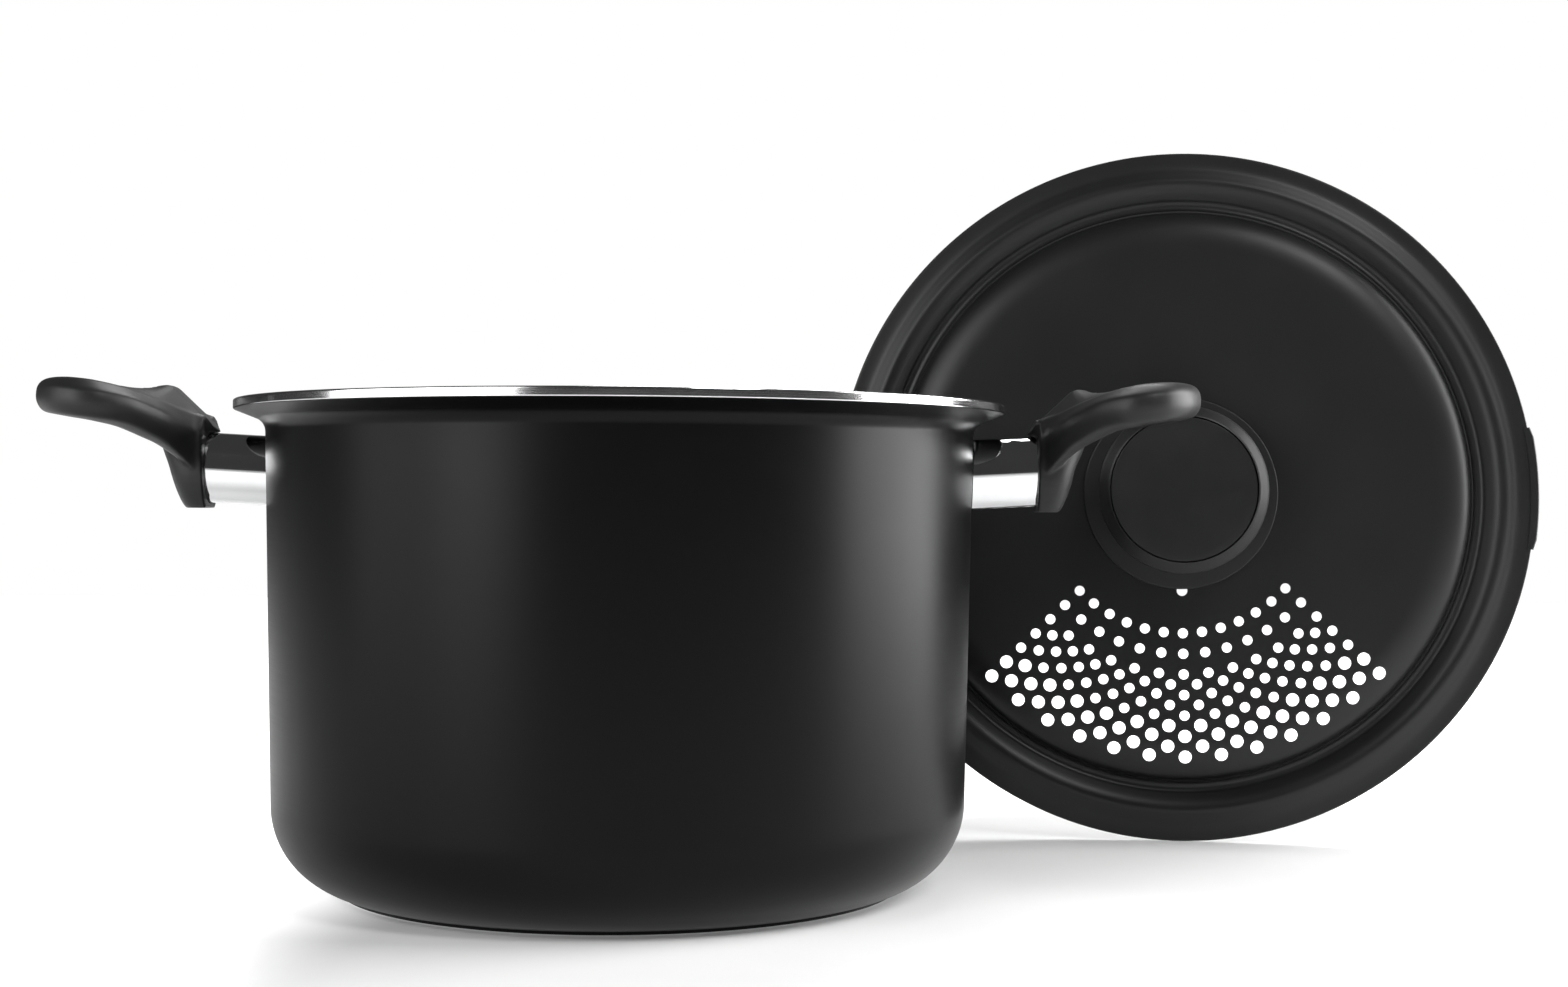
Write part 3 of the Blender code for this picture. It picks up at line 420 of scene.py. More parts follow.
class FinishColours(bpy.types.PropertyGroup):
    """Colours of the finishes."""

    coat: shade("Coating", (0.0012, 0.0012, 0.0013), "Baked coating outside the pot")
    # The lid's coating is the same baked coating as the pot's outside, given a lighter colour so that
    # the lid shows lighter than the pot: painted light
    lid_coat_painted_lighter: shade("Lid Coating", (0.0078, 0.0078, 0.0081), "Baked coating of the lid")
    inside: shade("Inner Coating", (0.016, 0.016, 0.0165), "Non-stick layer inside")
    phenolic: shade("Phenolic", (0.0105, 0.0105, 0.0108), "Moulded handles and knob")
    bare: shade("Bare Metal", (0.84, 0.84, 0.845), "Cut edge of the rim and the base")
    chrome: shade("Chrome", (0.86, 0.865, 0.87), "Sleeves")
    steel: shade("Steel", (0.56, 0.56, 0.57), "Screws, washers and studs")
    brass: shade("Brass", (0.72, 0.53, 0.24), "Insert in the knob")
    ground: shade("Ground", (0.80, 0.80, 0.80), "Floor")


class StudioSettings(bpy.types.PropertyGroup):
    """Camera and lamps."""

    camera_right: length("Camera Right", 0.0507, "Camera to the right of the pot")
    camera_front: length("Camera Front", 0.702, "Camera in front of the pot")
    camera_height: length("Camera Height", 0.120, "Camera over the floor")
    camera_tilt: turn("Camera Tilt", 90.19, "Camera from straight down")
    camera_roll: turn("Camera Roll", 0.3, "Roll of the camera")
    lens: share("Lens", 51.2, "Focal length in millimetres on a 36 mm sensor")
    floor_gap: length("Floor Gap", 0.0003, "Floor below the base, clear of every edge")
    floor_side: length("Floor Side", 4.0, "Side of the floor")
    left_power: share("Left Power", 11.5, "Tall soft boxes at the left, in watts")
    right_power: share("Right Power", 33.0, "Wide soft box at the right, in watts")
    high_power: share("High Power", 7.0, "High soft box at the front right, in watts")
    back_power: share("Back Power", 13.0, "Soft box behind and above, in watts")


class Wire:
    """An output of a node. Arithmetic on it adds Math nodes to its tree."""

    def __init__(self, tree, socket):
        self.tree = tree
        self.socket = socket

    def joined(self, operation, *values):
        sockets = dict(enumerate(values))
        return self.tree.add("ShaderNodeMath", {"operation": operation}, sockets)

    def __add__(self, other):
        return self.joined("ADD", self, other)

    def __radd__(self, other):
        return self.joined("ADD", other, self)

    def __sub__(self, other):
        return self.joined("SUBTRACT", self, other)

    def __rsub__(self, other):
        return self.joined("SUBTRACT", other, self)

    def __mul__(self, other):
        return self.joined("MULTIPLY", self, other)

    def __rmul__(self, other):
        return self.joined("MULTIPLY", other, self)

    def __truediv__(self, other):
        return self.joined("DIVIDE", self, other)

    def __rtruediv__(self, other):
        return self.joined("DIVIDE", other, self)

    def floored(self):
        return self.joined("FLOOR", self)

    def above(self, limit):
        return self.joined("GREATER_THAN", self, limit)

    def raised(self, power):
        return self.joined("POWER", self, power)

    def larger(self, other):
        return self.joined("MAXIMUM", self, other)

    def output(self, name):
        return Wire(self.tree, found_socket(self.socket.node.outputs, name))


def found_socket(sockets, key):
    """A socket by its number, its identifier or its name."""
    if isinstance(key, int):
        return sockets[key]
    for socket in sockets:
        if socket.identifier == key:
            return socket
    return sockets[key]


class Nodes:
    """A node tree with one way to add a node: its type, its settings, its sockets."""

    def __init__(self, tree):
        self.tree = tree

    def add(self, kind, settings=None, sockets=None, output=0):
        node = self.tree.nodes.new(kind)
        for name, value in (settings or {}).items():
            if name == "stops":
                self.fill_ramp(node.color_ramp, value)
            else:
                setattr(node, name, value)
        for key, value in (sockets or {}).items():
            self.plug(found_socket(node.inputs, key), value)
        if not node.outputs:
            return None
        return Wire(self, found_socket(node.outputs, output))

    def plug(self, socket, value):
        if isinstance(value, Wire):
            self.tree.links.new(value.socket, socket)
        else:
            socket.default_value = value

    def fill_ramp(self, ramp, stops):
        while len(ramp.elements) < len(stops):
            ramp.elements.new(0.5)
        for element, (place, level) in zip(ramp.elements, stops):
            element.position = place
            element.color = (level, level, level, 1.0)


def geometry_tree(name, inputs):
    """A geometry tree with its named inputs, and the wire of each input."""
    tree = bpy.data.node_groups.new(name, "GeometryNodeTree")
    tree.interface.new_socket("Geometry", in_out="OUTPUT", socket_type="NodeSocketGeometry")
    for title, kind in inputs:
        tree.interface.new_socket(title, in_out="INPUT", socket_type=kind)
    nodes = Nodes(tree)
    entry = nodes.add("NodeGroupInput")
    wires = {title: entry.output(title) for title, kind in inputs}
    return nodes, wires


def close_tree(nodes, shape, material):
    """End a geometry tree with Realize Instances, Set Material and its output."""
    real = nodes.add("GeometryNodeRealizeInstances", {}, {"Geometry": shape})
    painted = nodes.add(
        "GeometryNodeSetMaterial", {}, {"Geometry": real, "Material": material}
    )
    nodes.add("NodeGroupOutput", {}, {"Geometry": painted})
    return nodes.tree


def turned_tree():
    """A profile of points, radius along X and height along Z, turned about the Z axis."""
    nodes, given = geometry_tree(
        "Turned Wall",
        (
            ("Profile", "NodeSocketGeometry"),
            ("Steps", "NodeSocketInt"),
            ("Material", "NodeSocketMaterial"),
        ),
    )
    size = nodes.add(
        "GeometryNodeAttributeDomainSize",
        {"component": "MESH"},
        {"Geometry": given["Profile"]},
        "Point Count",
    )
    grid = nodes.add(
        "GeometryNodeMeshGrid",
        {},
        {"Vertices X": size, "Vertices Y": given["Steps"] + 1.0},
    )
    index = nodes.add("GeometryNodeInputIndex")
    around = given["Steps"] + 1.0
    row = (index / around + ROUNDING_GUARD).floored()
    step = index - row * around
    sampled = nodes.add(
        "GeometryNodeSampleIndex",
        {"data_type": "FLOAT_VECTOR", "domain": "POINT"},
        {
            "Geometry": given["Profile"],
            "Value": nodes.add("GeometryNodeInputPosition"),
            "Index": row,
        },
    )
    parts = nodes.add("ShaderNodeSeparateXYZ", {}, {"Vector": sampled})
    angle = step / given["Steps"] * (2.0 * math.pi)
    place = nodes.add(
        "ShaderNodeCombineXYZ",
        {},
        {
            "X": parts.output("X") * angle.joined("COSINE", angle),
            "Y": parts.output("X") * angle.joined("SINE", angle),
            "Z": parts.output("Z"),
        },
    )
    moved = nodes.add("GeometryNodeSetPosition", {}, {"Geometry": grid, "Position": place})
    welded = nodes.add(
        "GeometryNodeMergeByDistance", {}, {"Geometry": moved, "Distance": TURNED_MERGE}
    )
    smooth = nodes.add("GeometryNodeSetShadeSmooth", {}, {"Geometry": welded})
    return close_tree(nodes, smooth, given["Material"])


def strainer_tree():
    """Punches of a strainer fan: rows on circles, columns on rays, staggered rows between."""
    nodes, given = geometry_tree(
        "Strainer Punches",
        (
            ("Columns", "NodeSocketInt"),
            ("Column Angle", "NodeSocketFloat"),
            ("First Row", "NodeSocketFloat"),
            ("Row Pitch", "NodeSocketFloat"),
            ("Rows", "NodeSocketInt"),
            ("Staggered Row", "NodeSocketInt"),
            ("Large Row", "NodeSocketFloat"),
            ("Small Radius", "NodeSocketFloat"),
            ("Large Radius", "NodeSocketFloat"),
            ("Hole Sides", "NodeSocketInt"),
            ("Punch Length", "NodeSocketFloat"),
            ("Material", "NodeSocketMaterial"),
        ),
    )
    index = nodes.add("GeometryNodeInputIndex")
    half_fan = (given["Columns"] - 1.0) / 2.0

    def fan(rows, columns, first, shift):
        row = (index / columns + ROUNDING_GUARD).floored()
        angle = (index - row * columns + shift - half_fan) * given["Column Angle"]
        distance = given["First Row"] + (row + first) * given["Row Pitch"]
        place = nodes.add(
            "ShaderNodeCombineXYZ",
            {},
            {
                "X": distance * angle.joined("SINE", angle),
                "Y": distance * angle.joined("COSINE", angle) * -1.0,
            },
        )
        return nodes.add("GeometryNodePoints", {}, {"Count": rows * columns, "Position": place})

    main = fan(given["Rows"], given["Columns"], 0.0, 0.0)
    between = fan(
        given["Rows"] - given["Staggered Row"] - 1.0,
        given["Columns"] - 1.0,
        given["Staggered Row"] + 0.5,
        0.5,
    )
    both = nodes.add("GeometryNodeJoinGeometry")
    joint = both.socket.node.inputs[0]
    nodes.plug(joint, main)
    nodes.plug(joint, between)
    away = nodes.add(
        "ShaderNodeVectorMath",
        {"operation": "LENGTH"},
        {0: nodes.add("GeometryNodeInputPosition")},
        "Value",
    )
    row = (away - given["First Row"]) / given["Row Pitch"]
    large = row.above(given["Large Row"] - ROW_MARGIN)
    radius = given["Small Radius"] + large * (given["Large Radius"] - given["Small Radius"])
    punch = nodes.add(
        "GeometryNodeMeshCylinder",
        {},
        {"Vertices": given["Hole Sides"], "Radius": 1.0, "Depth": 1.0},
    )
    scale = nodes.add(
        "ShaderNodeCombineXYZ", {}, {"X": radius, "Y": radius, "Z": given["Punch Length"]}
    )
    placed = nodes.add(
        "GeometryNodeInstanceOnPoints", {}, {"Points": both, "Instance": punch, "Scale": scale}
    )
    return close_tree(nodes, placed, given["Material"])


def grown(name, mesh, tree, values):
    """The plain mesh that a geometry tree makes of a mesh with these named values."""
    holder = bpy.data.objects.new(name + "_seed", mesh)
    bpy.context.scene.collection.objects.link(holder)
    step = holder.modifiers.new("Build", "NODES")
    step.node_group = tree
    for item in tree.interface.items_tree:
        if item.item_type == "SOCKET" and item.in_out == "INPUT" and item.name in values:
            step[item.identifier] = values[item.name]
    bpy.context.view_layer.update()
    graph = bpy.context.evaluated_depsgraph_get()
    made = bpy.data.meshes.new_from_object(holder.evaluated_get(graph))
    holder.modifiers.clear()
    bpy.data.objects.remove(holder, do_unlink=True)
    made.name = name
    if made.materials and made.materials[0] is None:
        made.materials.clear()
    return made


def polyline(name, profile):
    """A mesh of a profile's points, radius along X and height along Z."""
    mesh = bpy.data.meshes.new(name)
    points = [(radius, 0.0, height) for radius, height in profile]
    mesh.from_pydata(points, [(i, i + 1) for i in range(len(points) - 1)], [])
    return mesh


def turned(name, profile, steps, finish, place=None):
    """A closed turned mesh, facing outwards, moved to its place."""
    tree = bpy.data.node_groups.get("Turned Wall") or turned_tree()
    values = {"Steps": steps, "Material": finish}
    mesh = grown(name, polyline(name, profile), tree, values)
    return settled(mesh, place)


def settled(mesh, place=None):
    """The same mesh with its doubles merged, its faces outwards and its place applied."""
    bm = bmesh.new()
    bm.from_mesh(mesh)
    bmesh.ops.remove_doubles(bm, verts=bm.verts[:], dist=MERGE)
    bmesh.ops.dissolve_degenerate(bm, edges=bm.edges[:], dist=MERGE)
    bmesh.ops.recalc_face_normals(bm, faces=bm.faces[:])
    if place is not None:
        bm.transform(place)
    bm.to_mesh(mesh)
    bm.free()
    return mesh


def closed_ring(profile):
    """The same profile with its first point again at the end."""
    return list(profile) + [profile[0]]


def arc(centre, radius, first, last, points):
    """Points on an arc in the plane of a profile, first and last angle included."""
    angles = np.linspace(first, last, points)
    return [(centre[0] + radius * math.cos(a), centre[1] + radius * math.sin(a)) for a in angles]


def mesh_of(name, bm):
    """A mesh of what was built, which is then let go."""
    mesh = bpy.data.meshes.new(name)
    bm.to_mesh(mesh)
    bm.free()
    return mesh


def object_of(name, mesh):
    """An object of a mesh, linked to the scene."""
    made = bpy.data.objects.new(name, mesh)
    bpy.context.scene.collection.objects.link(made)
    return made


def evaluated(piece):
    """The piece's mesh with its modifiers applied."""
    bpy.context.view_layer.update()
    graph = bpy.context.evaluated_depsgraph_get()
    return bpy.data.meshes.new_from_object(piece.evaluated_get(graph))


def cut(piece, other, operation="DIFFERENCE"):
    """Cut another object's solid out of a piece, or join it, and drop that object."""
    step = piece.modifiers.new("Cut", "BOOLEAN")
    step.operation = operation
    step.solver = "EXACT"
    step.object = other
    made = evaluated(piece)
    piece.modifiers.clear()
    piece.data = made
    bpy.data.objects.remove(other, do_unlink=True)


def rod_mesh(name, radius, start, end, sides, wide):
    """A round bar along Z, whose width along Y is scaled by wide."""
    bm = bmesh.new()
    middle = Matrix.Translation((0.0, 0.0, (start + end) / 2))
    bmesh.ops.create_cone(
        bm,
        cap_ends=True,
        segments=sides,
        radius1=radius,
        radius2=radius,
        depth=end - start,
        matrix=middle @ Matrix.Diagonal((1.0, wide, 1.0, 1.0)),
    )
    return mesh_of(name, bm)


def sharpen(mesh, degrees=35.0):
    """Smooth shading with edges kept sharp where the faces meet at a larger angle."""
    mesh.shade_smooth()
    mesh.set_sharp_from_angle(angle=math.radians(degrees))


def finished(piece, body, nodes, finish=None):
    """Give a piece its finish, its body and the nodes that it stands for."""
    if finish is not None:
        piece.data.materials.clear()
        piece.data.materials.append(finish)
    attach(piece, body)
    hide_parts(*nodes)


def new_finish(name):
    """A material that is still empty, and its nodes."""
    made = bpy.data.materials.new(name)
    made.use_nodes = True
    made.node_tree.nodes.clear()
    return made, Nodes(made.node_tree)


def principled(nodes, **sockets):
    """The material's surface, with each socket given by its name."""
    named = {}
    for key, value in sockets.items():
        named[key.replace("_", " ").title().replace("Ior", "IOR")] = value
    surface = nodes.add("ShaderNodeBsdfPrincipled", {}, named)
    nodes.add("ShaderNodeOutputMaterial", {}, {"Surface": surface})


def mixed(nodes, factor, first, second):
    """A colour between two colours."""
    return nodes.add(
        "ShaderNodeMix",
        {"data_type": "RGBA"},
        {"Factor_Float": factor, "A_Color": (*first, 1.0), "B_Color": (*second, 1.0)},
        "Result_Color",
    )


def noise(nodes, where, scale, detail):
    """A soft noise with so many features a metre."""
    return nodes.add(
        "ShaderNodeTexNoise", {}, {"Vector": where, "Scale": scale, "Detail": detail}
    )


def local_place(nodes, place):
    """Object coordinates taken back to a piece's own axis."""
    where = nodes.add("ShaderNodeTexCoord", {}, {}, "Object")
    return nodes.add(
        "ShaderNodeMapping",
        {"vector_type": "TEXTURE"},
        {"Vector": where, "Location": place.to_translation(), "Rotation": place.to_euler()},
    )


def stretched(nodes, where, scale):
    """Coordinates with a scale of their own along each axis."""
    return nodes.add("ShaderNodeMapping", {}, {"Vector": where, "Scale": scale})


def bumped(nodes, height, distance):
    """Relief of a height, so deep in metres."""
    sockets = {"Height": height, "Distance": distance, "Strength": 1.0}
    return nodes.add("ShaderNodeBump", {}, sockets)


def coated_finish(name, colour, place, streaks, roughness, specular):
    """Baked satin coating: a fine grain, faint turning streaks and soft clouds of gloss."""
    made, nodes = new_finish(name)
    where = local_place(nodes, place)
    grain = noise(nodes, where, scale=2600.0, detail=3.0)
    cloud = noise(nodes, where, scale=26.0, detail=3.0)
    along = stretched(nodes, where, scale=(45.0, 45.0, 2300.0))
    streak = noise(nodes, along, scale=1.0, detail=3.0)
    lighter = tuple(channel * COAT_LIGHTER for channel in colour)
    relief = grain * COAT_GRAIN + streak * (streaks * COAT_STREAK)
    principled(
        nodes,
        base_color=mixed(nodes, cloud, colour, lighter),
        roughness=roughness + (cloud - EVEN) * COAT_CLOUD_GLOSS + (streak - EVEN) * streaks,
        specular_ior_level=specular,
        normal=bumped(nodes, relief, COAT_DEPTH),
    )
    return made


def phenolic_finish(name, colour, roughness):
    """Moulded phenolic: satin with a fine flow grain and slightly polished high places."""
    made, nodes = new_finish(name)
    where = nodes.add("ShaderNodeTexCoord", {}, {}, "Object")
    grain = noise(nodes, where, scale=3400.0, detail=2.0)
    flow = noise(nodes, where, scale=140.0, detail=4.0)
    worn = nodes.add("ShaderNodeNewGeometry", {}, {}, "Pointiness")
    polish = nodes.add(
        "ShaderNodeMapRange",
        {},
        {
            "Value": worn,
            "From Min": WORN_FROM,
            "From Max": WORN_TO,
            "To Min": 0.0,
            "To Max": WORN_POLISH,
        },
    )
    lighter = tuple(channel * PHENOLIC_LIGHTER for channel in colour)
    relief = grain * PHENOLIC_GRAIN + flow * PHENOLIC_FLOW
    principled(
        nodes,
        base_color=mixed(nodes, flow, colour, lighter),
        roughness=roughness + (flow - EVEN) * PHENOLIC_FLOW_GLOSS - polish,
        specular_ior_level=PHENOLIC_SPECULAR,
        normal=bumped(nodes, relief, PHENOLIC_DEPTH),
    )
    return made


def metal_finish(name, colour, roughness, lines, place, depth=0.000010):
    """Bare metal with turning lines about its axis and faint smudges."""
    made, nodes = new_finish(name)
    where = local_place(nodes, place)
    parts = nodes.add("ShaderNodeSeparateXYZ", {}, {"Vector": where})
    across = (parts.output("X").raised(2.0) + parts.output("Y").raised(2.0)).raised(0.5)
    turned_place = nodes.add(
        "ShaderNodeCombineXYZ",
        {},
        {"X": across * lines, "Y": parts.output("Z") * lines, "Z": 0.0},
    )
    line = noise(nodes, turned_place, scale=1.0, detail=3.0)
    smudge = noise(nodes, where, scale=90.0, detail=3.0)
    darker = tuple(channel * METAL_DARKER for channel in colour)
    lined = roughness + (line - EVEN) * roughness * METAL_LINE_GLOSS
    principled(
        nodes,
        base_color=mixed(nodes, smudge, colour, darker),
        metallic=1.0,
        roughness=lined + (smudge - EVEN) * roughness * METAL_SMUDGE_GLOSS,
        normal=bumped(nodes, line, depth),
    )
    return made


def flare_centre(pot, thickness):
    """Centre of the fillet between wall and rim for a rim of this thickness."""
    rim = pot.wall_top + pot.rim_flare
    lip = pot.height - thickness / math.cos(pot.flare_slope)
    across = pot.wall_top + pot.flare_radius
    touch = across - pot.flare_radius * math.sin(pot.flare_slope)
    touch_height = lip - (rim - touch) * math.tan(pot.flare_slope)
    return (across, touch_height - pot.flare_radius * math.cos(pot.flare_slope))


def rim_edge(pot):
    """The rim's edge from its top over the flat cut face and the round below it."""
    rim = pot.wall_top + pot.rim_flare
    small, large = pot.rim_round, pot.lip_round
    lip = pot.height - pot.lip / math.cos(pot.flare_slope)
    slope = math.tan(math.pi / 4 - pot.flare_slope / 2)
    points = arc((rim - small, pot.height - small), small, math.pi / 2, 0.0, EDGE_POINTS)
    low = (rim - large, lip + large / slope)
    points += between(points[-1], (rim, low[1]), points=4)
    points += arc(low, large, 0.0, pot.flare_slope - math.pi / 2, points=10)
    return points


def pot_profile(pot):
    """Profile of the pot body, from the middle of its floor round the rim to its base."""
    slope_end = math.pi / 2 + pot.flare_slope
    inner_corner = (
        pot.wall_base - pot.wall - pot.inner_corner,
        pot.floor + pot.inner_corner,
    )
    profile = [(radius, pot.floor) for radius in np.linspace(0.0, inner_corner[0], num=12)[:-1]]
    profile += arc(inner_corner, pot.inner_corner, -math.pi / 2, 0.0, points=20)
    large, small = pot.flare_radius + pot.wall, pot.flare_radius
    inner_flare = arc(flare_centre(pot, pot.wall), large, math.pi, slope_end, points=16)
    profile += between(profile[-1], inner_flare[0], points=14)
    profile += inner_flare + rim_edge(pot)
    outer_flare = arc(flare_centre(pot, pot.lip), small, slope_end, math.pi, points=16)
    profile += between(profile[-1], outer_flare[0], points=3) + outer_flare
    corner = (pot.wall_base - pot.corner, pot.corner)
    end = math.asin((pot.corner - pot.step_height) / pot.corner)
    outer_corner = arc(corner, pot.corner, 0.0, -end, points=28)
    profile += between(profile[-1], outer_corner[0], points=14) + outer_corner
    profile.append((outer_corner[-1][0] - pot.step_width, 0.0))
    for number in range(pot.groove_count, 0, -1):
        radius = number * pot.groove_pitch
        half = pot.groove_width / 2
        profile.append((radius + half, 0.0))
        for angle in np.linspace(0.0, math.pi, num=7)[1:-1]:
            profile.append((radius + half * math.cos(angle), pot.groove_depth * math.sin(angle)))
        profile.append((radius - half, 0.0))
    profile.append((0.0, 0.0))
    return profile


def between(first, last, points):
    """Points on a straight line, without its two ends."""
    shares = np.linspace(0.0, 1.0, points + 2)[1:-1]
    return [
        (first[0] + (last[0] - first[0]) * t, first[1] + (last[1] - first[1]) * t)
        for t in shares
    ]


def wall_radius(pot, height):
    """Outer radius of the straight wall at a height."""
    top = flare_centre(pot, pot.wall)[1]
    share_up = (height - pot.corner) / (top - pot.corner)
    return pot.wall_base + (pot.wall_top - pot.wall_base) * share_up


class StrainerPotStep:
    """What the operators share."""

    bl_options = {"REGISTER", "UNDO"}


class STRAINERPOT_OT_pot_body(StrainerPotStep, bpy.types.Operator):
    """Turn the pot body with its flared rim, bare cut edge and grooved base"""

    bl_idname = "strainerpot.pot_body"
    bl_label = "Pot Body"

    def execute(self, context):
        scene = context.scene
        pot, colours = scene.pot_sizes, scene.pot_colours
        upright = Matrix.Identity(4)
        coat = coated_finish(
            "satin_coating", colours.coat, upright, streaks=0.05, roughness=0.32, specular=0.13
        )
        inside = coated_finish(
            "inner_coating", colours.inside, upright, streaks=0.05, roughness=0.36, specular=0.4
        )
        bare = metal_finish(
            "bare_rim", colours.bare, roughness=0.14, lines=3000.0, place=upright, depth=0.000004
        )
        base = metal_finish(
            "turned_base", colours.bare, roughness=0.30, lines=1500.0, place=upright
        )
        mesh = turned("pot_shell", pot_profile(pot), pot.steps, coat)
        mesh.materials.clear()
        for finish in (coat, inside, bare, base):
            mesh.materials.append(finish)
        rim = pot.wall_top + pot.rim_flare
        edge = pot.height - pot.lip / math.cos(pot.flare_slope) + pot.lip_round
        for face in mesh.polygons:
            x, y, z = face.center
            radius = math.hypot(x, y)
            inward = face.normal.x * x + face.normal.y * y < 0.0
            grooved = z < pot.groove_depth and radius < pot.wall_base - pot.corner
            stepped = z < pot.step_height * BARE_STEP and face.normal.z < FACES_DOWN
            if grooved or stepped:
                face.material_index = BASE_PLACE
            elif radius > rim - pot.rim_round and z > edge:
                face.material_index = RIM_PLACE
            elif inward or face.normal.z > FACES_UP:
                face.material_index = INSIDE_PLACE
        sharpen(mesh, degrees=40.0)
        piece = object_of("pot_shell", mesh)
        finished(piece, "pot", ["pot_body"])
        return {"FINISHED"}


def handle_place(pot, handle, angle):
    """Place of a handle's axis: along local X outwards, from the wall."""
    height = pot.height - handle.below_rim
    return (
        Matrix.Rotation(angle, 4, "Z")
        @ Matrix.Translation((pot.wall_top, 0.0, height))
        @ Matrix.Rotation(-handle.rise, 4, "Y")
    )


def upright_axis(handle_frame):
    """The same place with the axis along local Z."""
    return handle_frame @ Matrix.Rotation(math.radians(90), 4, "Y")


def sleeve_mesh(pot, handle, angle, seat):
    """Oval tube from the wall into the grip, trimmed to the wall, with its press mark."""
    place = handle_place(pot, handle, 0.0)
    shells = []
    for depth, wall in ((0.0, "outer"), (handle.sleeve_wall, "inner")):
        rows = []
        for step in range(SLEEVE_AROUND):
            a = 2.0 * math.pi * step / SLEEVE_AROUND
            up = (handle.sleeve_half_height - depth) * math.cos(a)
            side = (handle.sleeve_half_width - depth) * math.sin(a)
            start = 0.0
            for _ in range(SLEEVE_TRIMS):
                point = place @ Vector((start, side, up))
                away = math.hypot(point.x, point.y)
                start += wall_radius(pot, point.z) + seat - away
            row = []
            for s in np.linspace(start, handle.sleeve_length, SLEEVE_ALONG):
                mark = 0.0
                if wall == "outer":
                    mark = press_mark(handle, s, a)
                shrink = 1.0 - mark / handle.sleeve_half_height
                row.append(place @ Vector((s, side * shrink, up * shrink)))
            rows.append(row)
        shells.append(rows)
    bm = bmesh.new()
    rings = [[[bm.verts.new(p) for p in row] for row in rows] for rows in shells]
    for shell in rings:
        for step in range(SLEEVE_AROUND):
            here, next_row = shell[step], shell[(step + 1) % SLEEVE_AROUND]
            for s in range(SLEEVE_ALONG - 1):
                bm.faces.new((here[s], here[s + 1], next_row[s + 1], next_row[s]))
    outer, inner = rings
    for end in (0, SLEEVE_ALONG - 1):
        for step in range(SLEEVE_AROUND):
            follow = (step + 1) % SLEEVE_AROUND
            bm.faces.new((outer[step][end], outer[follow][end], inner[follow][end], inner[step][end]))
    bm.transform(Matrix.Rotation(angle, 4, "Z"))
    return settled(mesh_of("sleeve", bm))


def press_mark(handle, distance, angle):
    """Depth of the short crescents pressed into the upper side of a sleeve."""
    middle = handle.sleeve_length * MARK_PLACE
    reach = handle.sleeve_half_height * MARK_LENGTH
    mark = 0.0
    for side in (-1.0, 1.0):
        off = math.remainder(angle - side * MARK_ANGLE, 2 * math.pi) / MARK_SPREAD
        bend = (distance - middle + reach * MARK_BEND * off * off) / reach
        mark = max(mark, math.exp(-(bend * bend) - off * off * MARK_FADE))
    return handle.press_mark * mark


def smooth_rows(points, between_rows):
    """Even steps on a smooth curve through rows of numbers."""
    rows = np.array(points, float)
    before = np.vstack([rows[:1], rows[:-1]])
    after = np.vstack([rows[1:], rows[-1:]])
    slopes = (after - before) / 2
    made = []
    for index in range(len(rows) - 1):
        for step in range(between_rows):
            t = step / between_rows
            made.append(
                rows[index] * (2 * t**3 - 3 * t**2 + 1)
                + slopes[index] * (t**3 - 2 * t**2 + t)
                + rows[index + 1] * (3 * t**2 - 2 * t**3)
                + slopes[index + 1] * (t**3 - t**2)
            )
    made.append(rows[-1])
    return np.array(made)


def fine_outline(section):
    """A section as a fine closed outline that keeps its creases."""
    wrapped = section[-1:] + section + section[:2]
    return smooth_rows(wrapped, SECTION_STEPS)[SECTION_STEPS : -SECTION_STEPS - 1]


def loop_rows(handle):
    """Even steps along both arms of the loop: reach, spread, height and half sizes."""
    sizes = (
        handle.loop_reach,
        handle.loop_spread,
        handle.loop_rise,
        handle.loop_half_height,
        handle.loop_half_width,
    )
    half = np.array(LOOP_STATIONS) * sizes
    mirrored = half[-2::-1] * (1, -1, 1, 1, 1)
    return smooth_rows(np.vstack([half, mirrored]), LOOP_STEPS)


def lofted(name, rings):
    """A closed mesh through rings of points, with both ends closed."""
    bm = bmesh.new()
    made = [[bm.verts.new(point) for point in ring] for ring in rings]
    for first, second in zip(made[:-1], made[1:]):
        for index in range(len(first)):
            follow = (index + 1) % len(first)
            bm.faces.new((first[index], first[follow], second[follow], second[index]))
    bm.faces.new(made[0])
    bm.faces.new(made[-1][::-1])
    return settled(mesh_of(name, bm))


def loop_mesh(start, middle, handle):
    """The loop of a grip, lofted through sections that change in height and width."""
    rows = loop_rows(handle)
    heading = np.gradient(rows[:, :2], axis=0)
    heading /= np.linalg.norm(heading, axis=1)[:, None]
    straight = np.sign(heading[:, :1]) * (1.0, 0.0)
    turned_out = np.clip(rows[:, :1] / (handle.block_depth * ARM_TURN_REACH), 0.0, 1.0)
    heading = straight + (heading - straight) * turned_out
    heading /= np.linalg.norm(heading, axis=1)[:, None]
    outward = np.stack([-heading[:, 1], heading[:, 0]], axis=1)
    root, tip = fine_outline(LOOP_SECTION), fine_outline(LOOP_TIP_SECTION)
    rings = []
    for (x, y, z, half_height, half_width), side in zip(rows, outward):
        fuller = max(0.0, x / handle.loop_reach - LOOP_FULL_FROM) / (1.0 - LOOP_FULL_FROM)
        ring = []
        for across, up in root + (tip - root) * fuller:
            offset = side * across * half_width
            ring.append((start + x + offset[0], y + offset[1], middle + z + up * half_height))
        rings.append(ring)
    return lofted("loop", rings)


